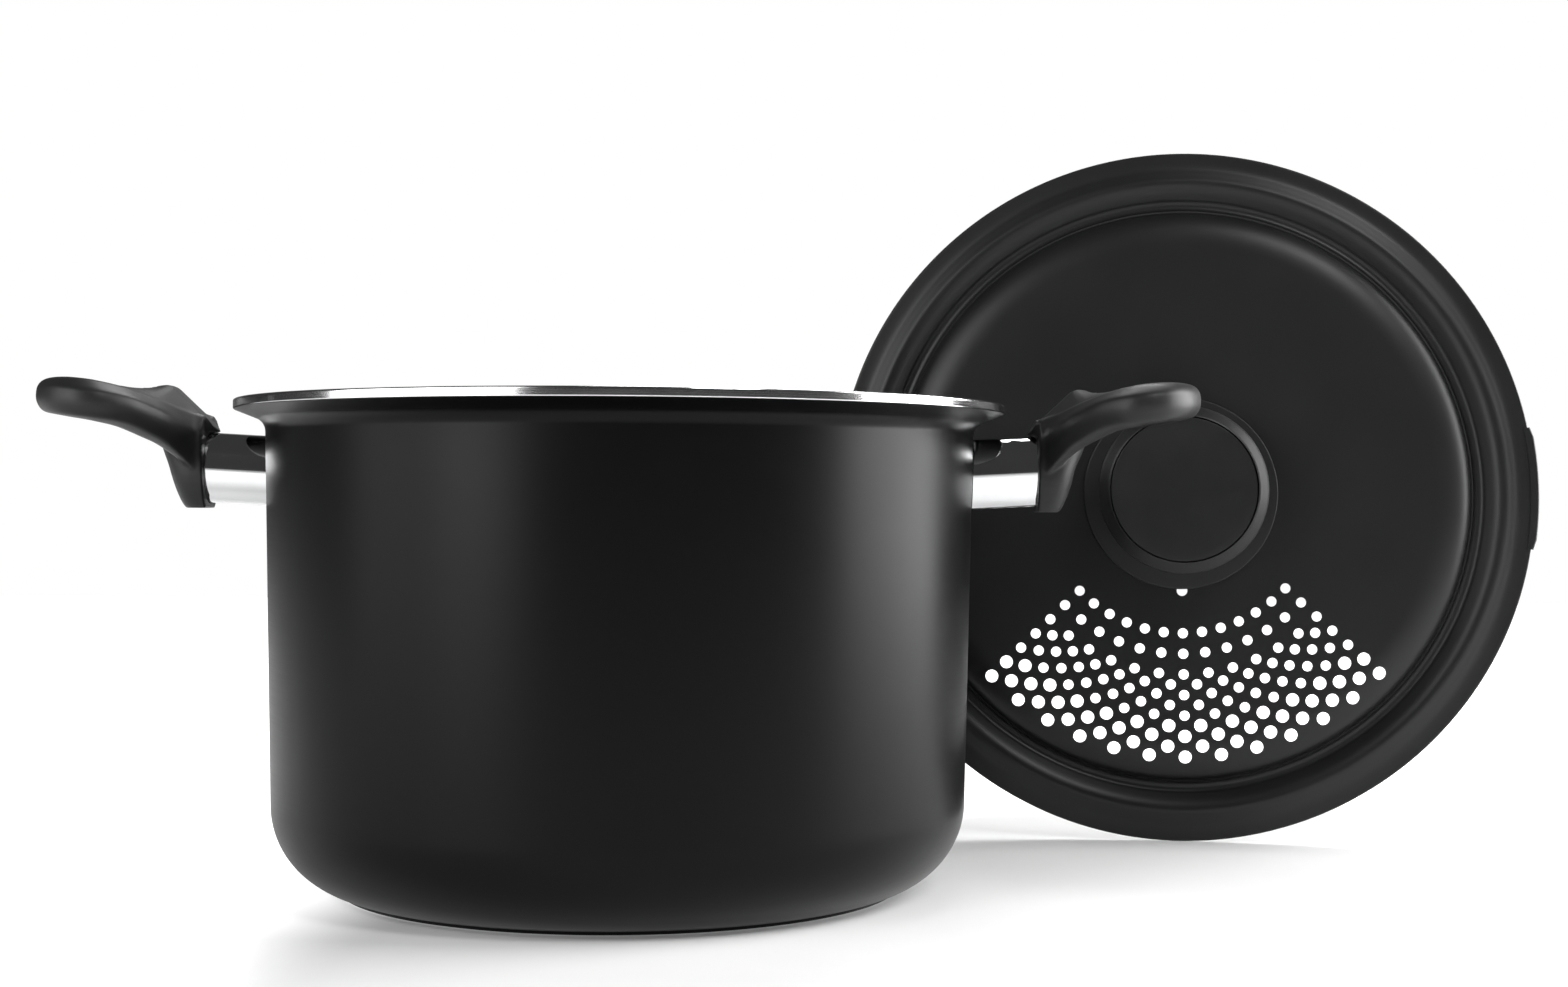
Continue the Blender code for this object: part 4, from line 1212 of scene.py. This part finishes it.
def block_mesh(start, middle, handle):
    """The block around the sleeve's end, lofted from its narrow foot to the guard."""
    depth = handle.sleeve_half_height + handle.socket_lip
    levels = []
    for down in BLOCK_DOWN:
        fuller = (1.0 - down) ** BLOCK_SWELL
        reach = handle.foot_depth + (handle.block_depth - handle.foot_depth) * fuller
        wide = handle.block_half_width * math.sqrt(1.0 - handle.foot_narrowing * down**2)
        levels.append((-depth * down, reach, wide))
    for up in BLOCK_UP:
        reach = handle.block_depth * (1.0 + BLOCK_LEAN * up)
        wide = handle.block_half_width * (1.0 - BLOCK_DRAW_IN * up)
        levels.append((depth * up, reach, wide))
    rings = []
    for height, reach, wide in levels:
        ring = [(start, -wide, middle + height)]
        for angle in np.linspace(-math.pi / 2, math.pi / 2, BLOCK_POINTS)[1:-1]:
            out = reach * math.cos(angle) ** BLOCK_SQUARE
            ring.append((start + out, wide * math.sin(angle), middle + height))
        ring.append((start, wide, middle + height))
        rings.append(ring)
    return lofted("block", rings)


def guard_mesh(start, middle, handle):
    """The guard: a crown on the centre line whose flanks run down to both arms."""
    rows = loop_rows(handle)
    arm = rows[: len(rows) // 2]
    height = handle.loop_rise + handle.guard_above_loop
    line = np.array(GUARD_LINE) * (handle.guard_reach, height)
    brow, centre_end, flank_end = line[0][0], line[GUARD_CENTRE_END][0], line[-1][0]
    rings = []
    for across in np.linspace(-1.0, 1.0, GUARD_ROWS):
        first = brow * (1.0 - abs(across) ** GUARD_BROW_BEND)
        last = centre_end + (flank_end - centre_end) * abs(across) ** GUARD_END_BEND
        top, under = [], []
        for x in np.linspace(first, last, GUARD_POINTS):
            spread = np.interp(x, arm[:, 0], arm[:, 1]) * GUARD_SPREAD
            centre = np.interp(x, arm[:, 0], arm[:, 2])
            ridge = centre + np.interp(x, arm[:, 0], arm[:, 3]) * GUARD_RIDGE
            crown = np.interp(x, line[:, 0], line[:, 1])
            y = across * spread
            flank = max(0.0, (abs(y) - handle.guard_crown) / (spread - handle.guard_crown))
            low = min(centre if x > 0.0 else handle.sleeve_half_height, crown - GUARD_LEAST)
            top.append((start + x, y, middle + crown + (ridge - crown) * flank))
            under.append((start + x, y, middle + low))
        rings.append(top + under[::-1])
    return lofted("guard", rings)


class STRAINERPOT_OT_sleeves(StrainerPotStep, bpy.types.Operator):
    """Make the two oval chrome sleeves between the wall and the grips"""

    bl_idname = "strainerpot.sleeves"
    bl_label = "Chrome Sleeves"

    def execute(self, context):
        scene = context.scene
        pot, handle, lid = scene.pot_sizes, scene.handle_sizes, scene.lid_sizes
        for side, angle in SIDES.items():
            place = upright_axis(handle_place(pot, handle, angle))
            chrome = metal_finish(
                "chrome_" + side,
                scene.pot_colours.chrome,
                roughness=0.06,
                lines=900.0,
                place=place,
                depth=0.0000012,
            )
            mesh = sleeve_mesh(pot, handle, angle, lid.seat)
            sharpen(mesh, degrees=40.0)
            piece = object_of("sleeve_" + side, mesh)
            finished(piece, "pot", ["ferrule_" + side], chrome)
        return {"FINISHED"}


class STRAINERPOT_OT_grips(StrainerPotStep, bpy.types.Operator):
    """Mould the two loop grips with their guards, sockets and screw recesses"""

    bl_idname = "strainerpot.grips"
    bl_label = "Loop Grips"

    def execute(self, context):
        scene = context.scene
        pot, handle, lid = scene.pot_sizes, scene.handle_sizes, scene.lid_sizes
        colour = scene.pot_colours.phenolic
        phenolic = phenolic_finish("satin_phenolic", colour, roughness=0.44)
        rise = math.tan(handle.rise)
        start = pot.wall_top + handle.sleeve_length - handle.socket_depth
        middle = pot.height - handle.below_rim + (start - pot.wall_top) * rise
        bm = bmesh.new()
        for made in (block_mesh, loop_mesh, guard_mesh):
            bm.from_mesh(made(start, middle, handle))
        joined = object_of("grip_form", mesh_of("grip_form", bm))
        skin = joined.modifiers.new("Skin", "REMESH")
        skin.mode = "VOXEL"
        skin.voxel_size = handle.skin
        skin.adaptivity = 0.0
        ease = joined.modifiers.new("Ease", "SMOOTH")
        ease.factor = EASE_SHARE
        ease.iterations = EASE_STEPS
        form = evaluated(joined)
        bpy.data.objects.remove(joined, do_unlink=True)
        axis = upright_axis(handle_place(pot, handle, 0.0))
        room = handle.sleeve_half_height + lid.seat
        wide = handle.sleeve_half_width / handle.sleeve_half_height
        end = handle.sleeve_length
        recess = end + handle.recess_wall
        bore = handle.screw + handle.screw_room
        seat = handle.screw_head + handle.recess_room
        cutters = (
            (room, -end, end + lid.seat, SOCKET_SIDES, wide),
            (bore, end - BORE_OVERLAP, recess + BORE_OVERLAP, BORE_SIDES, 1.0),
            (seat, recess, end + RECESS_RUN, RECESS_SIDES, 1.0),
        )
        for side, angle in SIDES.items():
            piece = object_of("grip_" + side, form.copy())
            for radius, first, last, sides, width in cutters:
                mesh = rod_mesh("cutter", radius, first, last, sides, width)
                mesh.transform(axis)
                cut(piece, object_of("cutter", mesh))
            piece.data.transform(Matrix.Rotation(angle, 4, "Z"))
            sharpen(piece.data, degrees=42.0)
            finished(piece, "pot", ["handle_grip_" + side], phenolic)
        return {"FINISHED"}


def screw_profile(handle, start, tip, way):
    """Profile of a screw whose head starts at a height and whose shank ends at tip."""
    head, high = handle.screw_head, handle.head_height
    points = [(0.0, start + way * high)]
    for a in np.linspace(math.pi / 2, HEAD_LAST_ANGLE, HEAD_POINTS):
        across = head * (HEAD_FLAT + HEAD_ROUND * math.cos(a))
        up = start + way * high * (HEAD_SHOULDER + HEAD_DOME * math.sin(a))
        points.append((across, up))
    points += [(head, start + way * high * HEAD_SIDE), (head, start), (handle.screw, start)]
    points += [(handle.screw, tip), (0.0, tip)]
    return points


def slotted(name, profile, handle, level, place, finish):
    """A screw turned from its profile with a slot across its head."""
    piece = object_of(name, turned(name, profile, SCREW_SIDES, finish))
    bm = bmesh.new()
    size = (handle.slot_width, handle.screw_head * SLOT_LENGTH, handle.slot_depth * 2, 1.0)
    turn_aside = Matrix.Rotation(SLOT_TURN, 4, "Z")
    bmesh.ops.create_cube(
        bm,
        size=1.0,
        matrix=Matrix.Translation((0.0, 0.0, level)) @ turn_aside @ Matrix.Diagonal(size),
    )
    cut(piece, object_of("slot", mesh_of("slot", bm)))
    piece.data.transform(place)
    sharpen(piece.data, degrees=30.0)
    return piece


def ring_profile(inner, outer, start, end, round_off):
    """Profile of a flat ring with rounded outer corners."""
    return closed_ring(
        [(inner, end)]
        + arc((outer - round_off, end - round_off), round_off, math.pi / 2, 0.0, EDGE_POINTS)
        + arc((outer - round_off, start + round_off), round_off, 0.0, -math.pi / 2, EDGE_POINTS)
        + [(inner, start)]
    )


class STRAINERPOT_OT_handle_screws(StrainerPotStep, bpy.types.Operator):
    """Turn the screws and washers of the handles and finish their studs"""

    bl_idname = "strainerpot.handle_screws"
    bl_label = "Handle Screws"

    def execute(self, context):
        scene = context.scene
        pot, handle, lid = scene.pot_sizes, scene.handle_sizes, scene.lid_sizes
        washer_start = handle.sleeve_length + handle.recess_wall + lid.seat / 2
        washer_end = washer_start + handle.washer_height
        head = washer_end + lid.seat / 2
        tip = handle.stud_length - handle.screw_in_stud
        for side, angle in SIDES.items():
            place = upright_axis(handle_place(pot, handle, angle))
            colour = scene.pot_colours.steel
            steel = metal_finish(
                "steel_" + side, colour, roughness=0.28, lines=2600.0, place=place
            )
            inner = handle.screw + lid.seat
            profile = ring_profile(inner, handle.washer, washer_start, washer_end, WASHER_ROUND)
            mesh = turned("washer_" + side, profile, SCREW_SIDES, steel, place)
            sharpen(mesh)
            piece = object_of("washer_" + side, mesh)
            finished(piece, "pot", ["handle_washer_" + side], steel)
            level = head + handle.head_height
            profile = screw_profile(handle, head, tip, 1.0)
            screw = slotted("screw_" + side, profile, handle, level, place, steel)
            finished(screw, "pot", ["handle_screw_" + side], steel)
            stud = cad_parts["handle_stud_" + side]
            stud.data.materials.clear()
            stud.data.materials.append(steel)
        return {"FINISHED"}


def lid_place(lid):
    """Place of the lid's own axis, found from the disc under its knob in the frame."""
    rotation = (
        Matrix.Rotation(lid.turned, 4, "Z")
        @ Matrix.Rotation(math.radians(90) - lid.lean, 4, "X")
        @ Matrix.Rotation(lid.roll, 4, "Z")
    )
    low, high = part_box("knob_base")
    middle = lid.plateau + lid.seat + lid.disc_height / 2
    origin = (low + high) / 2 - rotation.to_3x3() @ Vector((0.0, 0.0, middle))
    return Matrix.Translation(origin) @ rotation


def lid_top(pot, lid):
    """Upper side of the lid from its plateau over the groove and bead to the edge."""
    rim = pot.wall_top + pot.rim_flare
    crease = pot.wall_top - pot.wall - lid.mouth_fit
    groove = (crease - lid.groove, lid.groove - lid.groove_depth)
    shoulder = (groove[0] - lid.groove - lid.crown, lid.plateau - lid.shoulder)
    flange = rim - lid.flange
    bead = (crease + flange) / 2
    points = [
        (shoulder[0] + lid.crown * math.cos(angle), shoulder[1] + lid.shoulder * math.sin(angle))
        for angle in np.linspace(math.pi / 2, SHOULDER_END, num=22)
    ]
    ends = (math.pi * GROOVE_FROM, math.pi * GROOVE_TO)
    points += arc(groove, lid.groove, *ends, points=12)
    turned_up = [
        points[-1],
        ((crease + bead) / 2, lid.bead * BEAD_START),
        (bead, lid.bead),
        ((bead + flange) / 2, (lid.bead + lid.flange) / 2),
        (flange, lid.flange),
        (rim + lid.overhang - lid.sheet / 2, lid.flange - lid.edge_drop),
    ]
    points += [tuple(row) for row in smooth_rows(turned_up, between_rows=6)[1:]]
    return points


def lid_profile(pot, lid, hole):
    """Closed profile of the lid's sheet with its rolled edge."""
    side = lid_top(pot, lid)
    outer = pot.wall_top + pot.rim_flare + lid.overhang
    half = lid.sheet / 2
    under = [(radius, height - lid.sheet) for radius, height in reversed(side)]
    edge = (side[-1][0], side[-1][1] - half)
    rolled = arc(edge, half, math.pi / 2, -math.pi / 2, points=8)[1:-1]
    plate = [(radius, lid.plateau) for radius in np.linspace(hole, side[0][0], num=16)[:-1]]
    below = [(radius, height - lid.sheet) for radius, height in reversed(plate)]
    return closed_ring(plate + side + [(min(r, outer), z) for r, z in rolled] + under + below)


def tab_mesh(pot, lid, angle):
    """A turned-down tab swept about the lid's axis, with a rounded bend and cut-off ends."""
    rim = pot.wall_top + pot.rim_flare + lid.overhang
    outer = rim + lid.tab_proud
    half_angle = lid.tab_length / 2 / outer
    cut_angle = lid.tab_chamfer / outer
    low = (rim + lid.tab_round, lid.sheet * TAB_CUT_DEPTH)
    stations = [(-half_angle - cut_angle, *low)]
    for around in np.linspace(-half_angle, half_angle, num=20):
        stations.append((around, outer, lid.tab_drop))
    stations.append((half_angle + cut_angle, *low))
    rings = []
    for around, reach, drop in stations:
        root = rim - lid.tab_proud
        top = lid.flange
        bend = (reach - lid.tab_round, top - lid.tab_round)
        section = [(root, top - lid.sheet), (root, top)]
        section += arc(bend, lid.tab_round, math.pi / 2, 0.0, EDGE_POINTS)
        section += [(reach, top - drop), (reach - lid.sheet, top - drop)]
        section.append((reach - lid.sheet, top - lid.sheet))
        across, along = math.cos(angle + around), math.sin(angle + around)
        rings.append([(r * across, r * along, z) for r, z in section])
    return lofted("tab", rings)


def punches(pot, lid, finish):
    """The strainer's punches and the vent's, about the lid's own axis."""
    first = lid.disc + lid.beyond_knob
    last = pot.wall_top - pot.wall - lid.inside_mouth
    seed = bpy.data.meshes.new("punch_seed")
    mesh = grown(
        "punches",
        seed,
        bpy.data.node_groups.get("Strainer Punches") or strainer_tree(),
        {
            "Columns": lid.columns,
            "Column Angle": lid.column_angle,
            "First Row": first,
            "Row Pitch": (last - first) / (lid.rows - 1),
            "Rows": lid.rows,
            "Staggered Row": lid.staggered_row,
            "Large Row": lid.large_row,
            "Small Radius": lid.small_hole,
            "Large Radius": lid.large_hole,
            "Hole Sides": lid.hole_sides,
            "Punch Length": lid.plateau,
            "Material": finish,
        },
    )
    bm = bmesh.new()
    bm.from_mesh(mesh)
    bmesh.ops.create_cone(
        bm,
        cap_ends=True,
        segments=lid.hole_sides,
        radius1=lid.vent,
        radius2=lid.vent,
        depth=lid.plateau,
        matrix=Matrix.Translation((0.0, -lid.disc - lid.vent_beyond, 0.0)),
    )
    bm.transform(Matrix.Translation((0.0, 0.0, lid.plateau)))
    bmesh.ops.recalc_face_normals(bm, faces=bm.faces[:])
    bm.to_mesh(mesh)
    bm.free()
    return mesh


class STRAINERPOT_OT_lid(StrainerPotStep, bpy.types.Operator):
    """Turn the lid's sheet, join its tabs and punch the strainer fan and the vent"""

    bl_idname = "strainerpot.lid"
    bl_label = "Strainer Lid"

    def execute(self, context):
        scene = context.scene
        pot, handle, lid = scene.pot_sizes, scene.handle_sizes, scene.lid_sizes
        place = lid_place(lid)
        # The lid's colour is lighter than the pot's coating of the same kind, which paints light on
        # the lid
        colour = scene.pot_colours.lid_coat_painted_lighter
        coat = coated_finish(
            "lid_coating", colour, place, streaks=0.02, roughness=0.38, specular=0.32
        )
        hole = handle.screw + handle.screw_room
        mesh = turned("lid_shell", lid_profile(pot, lid, hole), lid.steps, coat)
        mesh.transform(Matrix.Rotation(SHELL_TURN, 4, "Z"))
        piece = object_of("lid_shell", mesh)
        for side, angle in SIDES.items():
            cut(piece, object_of("tab_" + side, tab_mesh(pot, lid, angle)), "UNION")
        cut(piece, object_of("punches", punches(pot, lid, coat)))
        piece.data.transform(place)
        sharpen(piece.data, degrees=32.0)
        finished(piece, "lid", ["lid_plate"], coat)
        return {"FINISHED"}


def knob_profile(pot, handle, lid):
    """Height of the knob's foot, and profiles of the disc, the knob and its cap."""
    disc_start = lid.plateau + lid.seat
    start = disc_start + lid.disc_height + lid.seat
    top = start + lid.knob_height
    pocket = top - lid.pocket
    ring = top - lid.bevel_drop
    inner = lid.knob - lid.bevel_width
    flare_top = ring - lid.knob_edge
    bore = lid.insert + lid.seat
    soft = KNOB_SOFT
    inner_corner = [(inner + soft * out, top + soft * up) for out, up in RING_INNER]
    outer_corner = [(lid.knob - soft * back, ring + soft * up) for back, up in RING_OUTER]
    body = [(radius, pocket) for radius in np.linspace(0.0, inner, num=8)]
    body += inner_corner + between(inner_corner[-1], outer_corner[0], points=6) + outer_corner
    for t in np.linspace(0.0, 1.0, num=26):
        swing = (1.0 - math.cos(math.pi * t)) / 2.0
        radius = lid.knob + (lid.knob_neck - lid.knob) * swing
        body.append((radius, flare_top - lid.knob_flare * t))
    body.append((lid.knob_neck, start + lid.foot_height))
    body += [(lid.knob_foot - back, start + up) for back, up in FOOT_CORNER]
    body += [
        (lid.knob_foot, start),
        (bore, start),
        (bore, start + lid.insert_length + lid.seat),
        (0.0, start + lid.insert_length + lid.seat),
    ]
    cap_start = pocket + lid.seat
    cap_end = cap_start + lid.cap
    radius = inner - lid.seat
    edge = (radius - lid.cap_round, cap_end - lid.cap_round)
    cap = [(r, cap_end) for r in np.linspace(0.0, edge[0], num=10)[:-1]]
    cap += arc(edge, lid.cap_round, math.pi / 2, 0.0, EDGE_POINTS)
    cap += [(radius, cap_start), (0.0, cap_start)]
    disc = ring_profile(
        handle.screw + lid.seat,
        lid.disc,
        disc_start,
        disc_start + lid.disc_height,
        lid.disc_round,
    )
    return start, disc, body, cap


class STRAINERPOT_OT_knob(StrainerPotStep, bpy.types.Operator):
    """Turn the knob, its disc, its cap and what holds it to the lid"""

    bl_idname = "strainerpot.knob"
    bl_label = "Knob"

    def execute(self, context):
        scene = context.scene
        pot, handle, lid = scene.pot_sizes, scene.handle_sizes, scene.lid_sizes
        place = lid_place(lid)
        colours = scene.pot_colours
        dull = phenolic_finish("matt_phenolic", colours.phenolic, roughness=0.42)
        steel = metal_finish("lid_steel", colours.steel, roughness=0.26, lines=2600.0, place=place)
        brass = metal_finish(
            "insert_brass", colours.brass, roughness=0.30, lines=2600.0, place=place
        )
        start, disc, body, cap = knob_profile(pot, handle, lid)
        rows = (
            ("knob_disc", disc, "knob_base"),
            ("knob_grip", body, "knob_body"),
            ("knob_top", cap, "knob_cap"),
        )
        for name, profile, node in rows:
            mesh = turned(name, profile, KNOB_SIDES, dull, place)
            sharpen(mesh, degrees=30.0)
            finished(object_of(name, mesh), "lid", [node], dull)
        end = lid.plateau - lid.sheet - lid.seat
        inner = handle.screw + lid.seat
        low = end - handle.washer_height
        profile = ring_profile(inner, lid.washer, low, end, WASHER_ROUND)
        mesh = turned("lid_washer", profile, LID_WASHER_SIDES, steel, place)
        sharpen(mesh)
        finished(object_of("lid_washer", mesh), "lid", ["knob_washer"], steel)
        head = low - lid.seat
        profile = screw_profile(handle, head, start + lid.screw_reach, -1.0)
        level = head - handle.head_height
        screw = slotted("lid_screw", profile[::-1], handle, level, place, steel)
        finished(screw, "lid", ["knob_screw"], steel)
        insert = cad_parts["knob_insert"]
        insert.data.materials.clear()
        insert.data.materials.append(brass)
        return {"FINISHED"}


def area_lamp(name, place, aim, size, power):
    """A soft white rectangular lamp at a place, aimed at a point."""
    light = bpy.data.lights.new(name, "AREA")
    light.shape = "RECTANGLE"
    light.size, light.size_y = size
    light.energy = power
    lamp = bpy.data.objects.new(name, light)
    lamp.location = place
    way = Vector(aim) - Vector(place)
    lamp.rotation_euler = way.to_track_quat("-Z", "Y").to_euler()
    bpy.context.scene.collection.objects.link(lamp)


def floor_finish(colour):
    """Pale floor that keeps its shadow and turns to plain white away from the pot."""
    made, nodes = new_finish("pale_floor")
    where = nodes.add("ShaderNodeTexCoord", {}, {}, "Object")
    path = nodes.add("ShaderNodeLightPath", {}, {}, "Is Camera Ray")
    soft = noise(nodes, where, scale=40.0, detail=3.0)
    lighter = tuple(channel * FLOOR_LIGHTER for channel in colour)
    ground = nodes.add(
        "ShaderNodeBsdfDiffuse", {}, {"Color": mixed(nodes, soft, colour, lighter)}
    )
    away = nodes.add(
        "ShaderNodeVectorMath", {"operation": "DISTANCE"}, {0: where, 1: FLOOR_MIDDLE}, "Value"
    )
    far = nodes.add(
        "ShaderNodeMapRange",
        {"interpolation_type": "SMOOTHSTEP"},
        {"Value": away, "From Min": FLOOR_FADE_FROM, "From Max": FLOOR_FADE_TO},
    )
    mirrored = path.output("Is Glossy Ray") * FLOOR_MIRRORED
    seen = path * (FLOOR_NEAR_GLOW + far * FLOOR_FAR_GLOW) + mirrored
    glow = nodes.add("ShaderNodeEmission", {}, {"Strength": seen})
    surface = nodes.add("ShaderNodeAddShader", {}, {0: ground, 1: glow})
    nodes.add("ShaderNodeOutputMaterial", {}, {"Surface": surface})
    return made


def studio_world():
    """White backdrop for the eye; in reflections a dark room with a white wall behind."""
    world = bpy.data.worlds.new("studio")
    world.use_nodes = True
    world.node_tree.nodes.clear()
    nodes = Nodes(world.node_tree)
    path = nodes.add("ShaderNodeLightPath", {}, {}, "Is Camera Ray")
    where = nodes.add("ShaderNodeTexCoord", {}, {}, "Generated")
    parts = nodes.add("ShaderNodeSeparateXYZ", {}, {"Vector": where})

    def ramp(value, span, low, high):
        ends = {"From Min": span[0], "From Max": span[1], "To Min": low, "To Max": high}
        return nodes.add(
            "ShaderNodeMapRange", {"interpolation_type": "SMOOTHSTEP"}, {"Value": value, **ends}
        )

    wall = ramp(parts.output("Y"), WALL_BACK, 0.0, 1.0)
    wall = wall * ramp(parts.output("X"), WALL_SIDE, WALL_LEFT_LEVEL, 1.0)
    below = ramp(parts.output("Z"), GROUND_EDGE, 0.0, GROUND_LEVEL)
    mirrored = ROOM_LEVEL + wall.larger(below)
    glossy = path.output("Is Glossy Ray").larger(path.output("Is Transmission Ray"))
    level = FILL_LEVEL * (1.0 - glossy) + mirrored * glossy
    level = level * (1.0 - path) + path
    surface = nodes.add("ShaderNodeBackground", {}, {"Strength": level})
    surface.socket.node.inputs["Color"].default_value = (1.0, 1.0, 1.0, 1.0)
    nodes.add("ShaderNodeOutputWorld", {}, {"Surface": surface})
    return world


class STRAINERPOT_OT_stage(StrainerPotStep, bpy.types.Operator):
    """Lay the floor and set the camera, the lamps and the backdrop"""

    bl_idname = "strainerpot.stage"
    bl_label = "Floor, Light and Camera"

    def execute(self, context):
        scene = context.scene
        studio = scene.pot_studio
        half = studio.floor_side / 2
        mesh = bpy.data.meshes.new("floor")
        corners = [(-half, -half, 0.0), (half, -half, 0.0), (half, half, 0.0), (-half, half, 0.0)]
        mesh.from_pydata(corners, [], [(0, 1, 2, 3)])
        mesh.transform(Matrix.Translation((0.0, 0.0, -studio.floor_gap)))
        mesh.materials.append(floor_finish(scene.pot_colours.ground))
        floor = object_of("floor", mesh)

        scene.world = studio_world()
        for name, (azimuth, away, size, level, power, part) in UPRIGHT_BOXES.items():
            angle = math.radians(azimuth)
            place = (away * math.sin(angle), -away * math.cos(angle), level)
            area_lamp(name, place, (0.0, 0.0, level), size, getattr(studio, power) * part)
        for name, (place, aim, size, power) in AIMED_BOXES.items():
            area_lamp(name, place, aim, size, getattr(studio, power))

        camera = bpy.data.cameras.new("camera")
        camera.sensor_width = SENSOR_WIDTH
        camera.lens = studio.lens
        camera.clip_start, camera.clip_end = CLIP_START, CLIP_END
        eye = bpy.data.objects.new("camera", camera)
        place = (studio.camera_right, -studio.camera_front, studio.camera_height)
        eye.matrix_world = (
            Matrix.Translation(place)
            @ Matrix.Rotation(studio.camera_tilt, 4, "X")
            @ Matrix.Rotation(studio.camera_roll, 4, "Z")
        )
        scene.collection.objects.link(eye)
        bpy.context.scene.camera = eye
        scene.view_settings.view_transform = "Standard"
        return {"FINISHED"}


STEPS = (
    STRAINERPOT_OT_pot_body,
    STRAINERPOT_OT_sleeves,
    STRAINERPOT_OT_grips,
    STRAINERPOT_OT_handle_screws,
    STRAINERPOT_OT_lid,
    STRAINERPOT_OT_knob,
    STRAINERPOT_OT_stage,
)


class STRAINERPOT_PT_sidebar(bpy.types.Panel):
    """The steps that build the pot, in their order"""

    bl_idname = "STRAINERPOT_PT_sidebar"
    bl_label = "Strainer Pot"
    bl_space_type = "VIEW_3D"
    bl_region_type = "UI"
    bl_category = "Strainer Pot"

    def draw(self, context):
        for step in STEPS:
            self.layout.operator(step.bl_idname)


GROUPS = {
    "pot_sizes": PotSizes,
    "handle_sizes": HandleSizes,
    "lid_sizes": LidSizes,
    "pot_colours": FinishColours,
    "pot_studio": StudioSettings,
}


def register():
    for group in (*GROUPS.values(), *STEPS, STRAINERPOT_PT_sidebar):
        bpy.utils.register_class(group)
    for name, group in GROUPS.items():
        setattr(bpy.types.Scene, name, PointerProperty(type=group))


def unregister():
    for name in GROUPS:
        delattr(bpy.types.Scene, name)
    for group in (STRAINERPOT_PT_sidebar, *reversed(STEPS), *reversed(list(GROUPS.values()))):
        bpy.utils.unregister_class(group)


def main():
    """Build every piece and the stage."""
    register()
    for step in STEPS:
        group, name = step.bl_idname.split(".")
        getattr(getattr(bpy.ops, group), name)()
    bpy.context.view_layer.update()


if __name__ == "__main__":
    main()
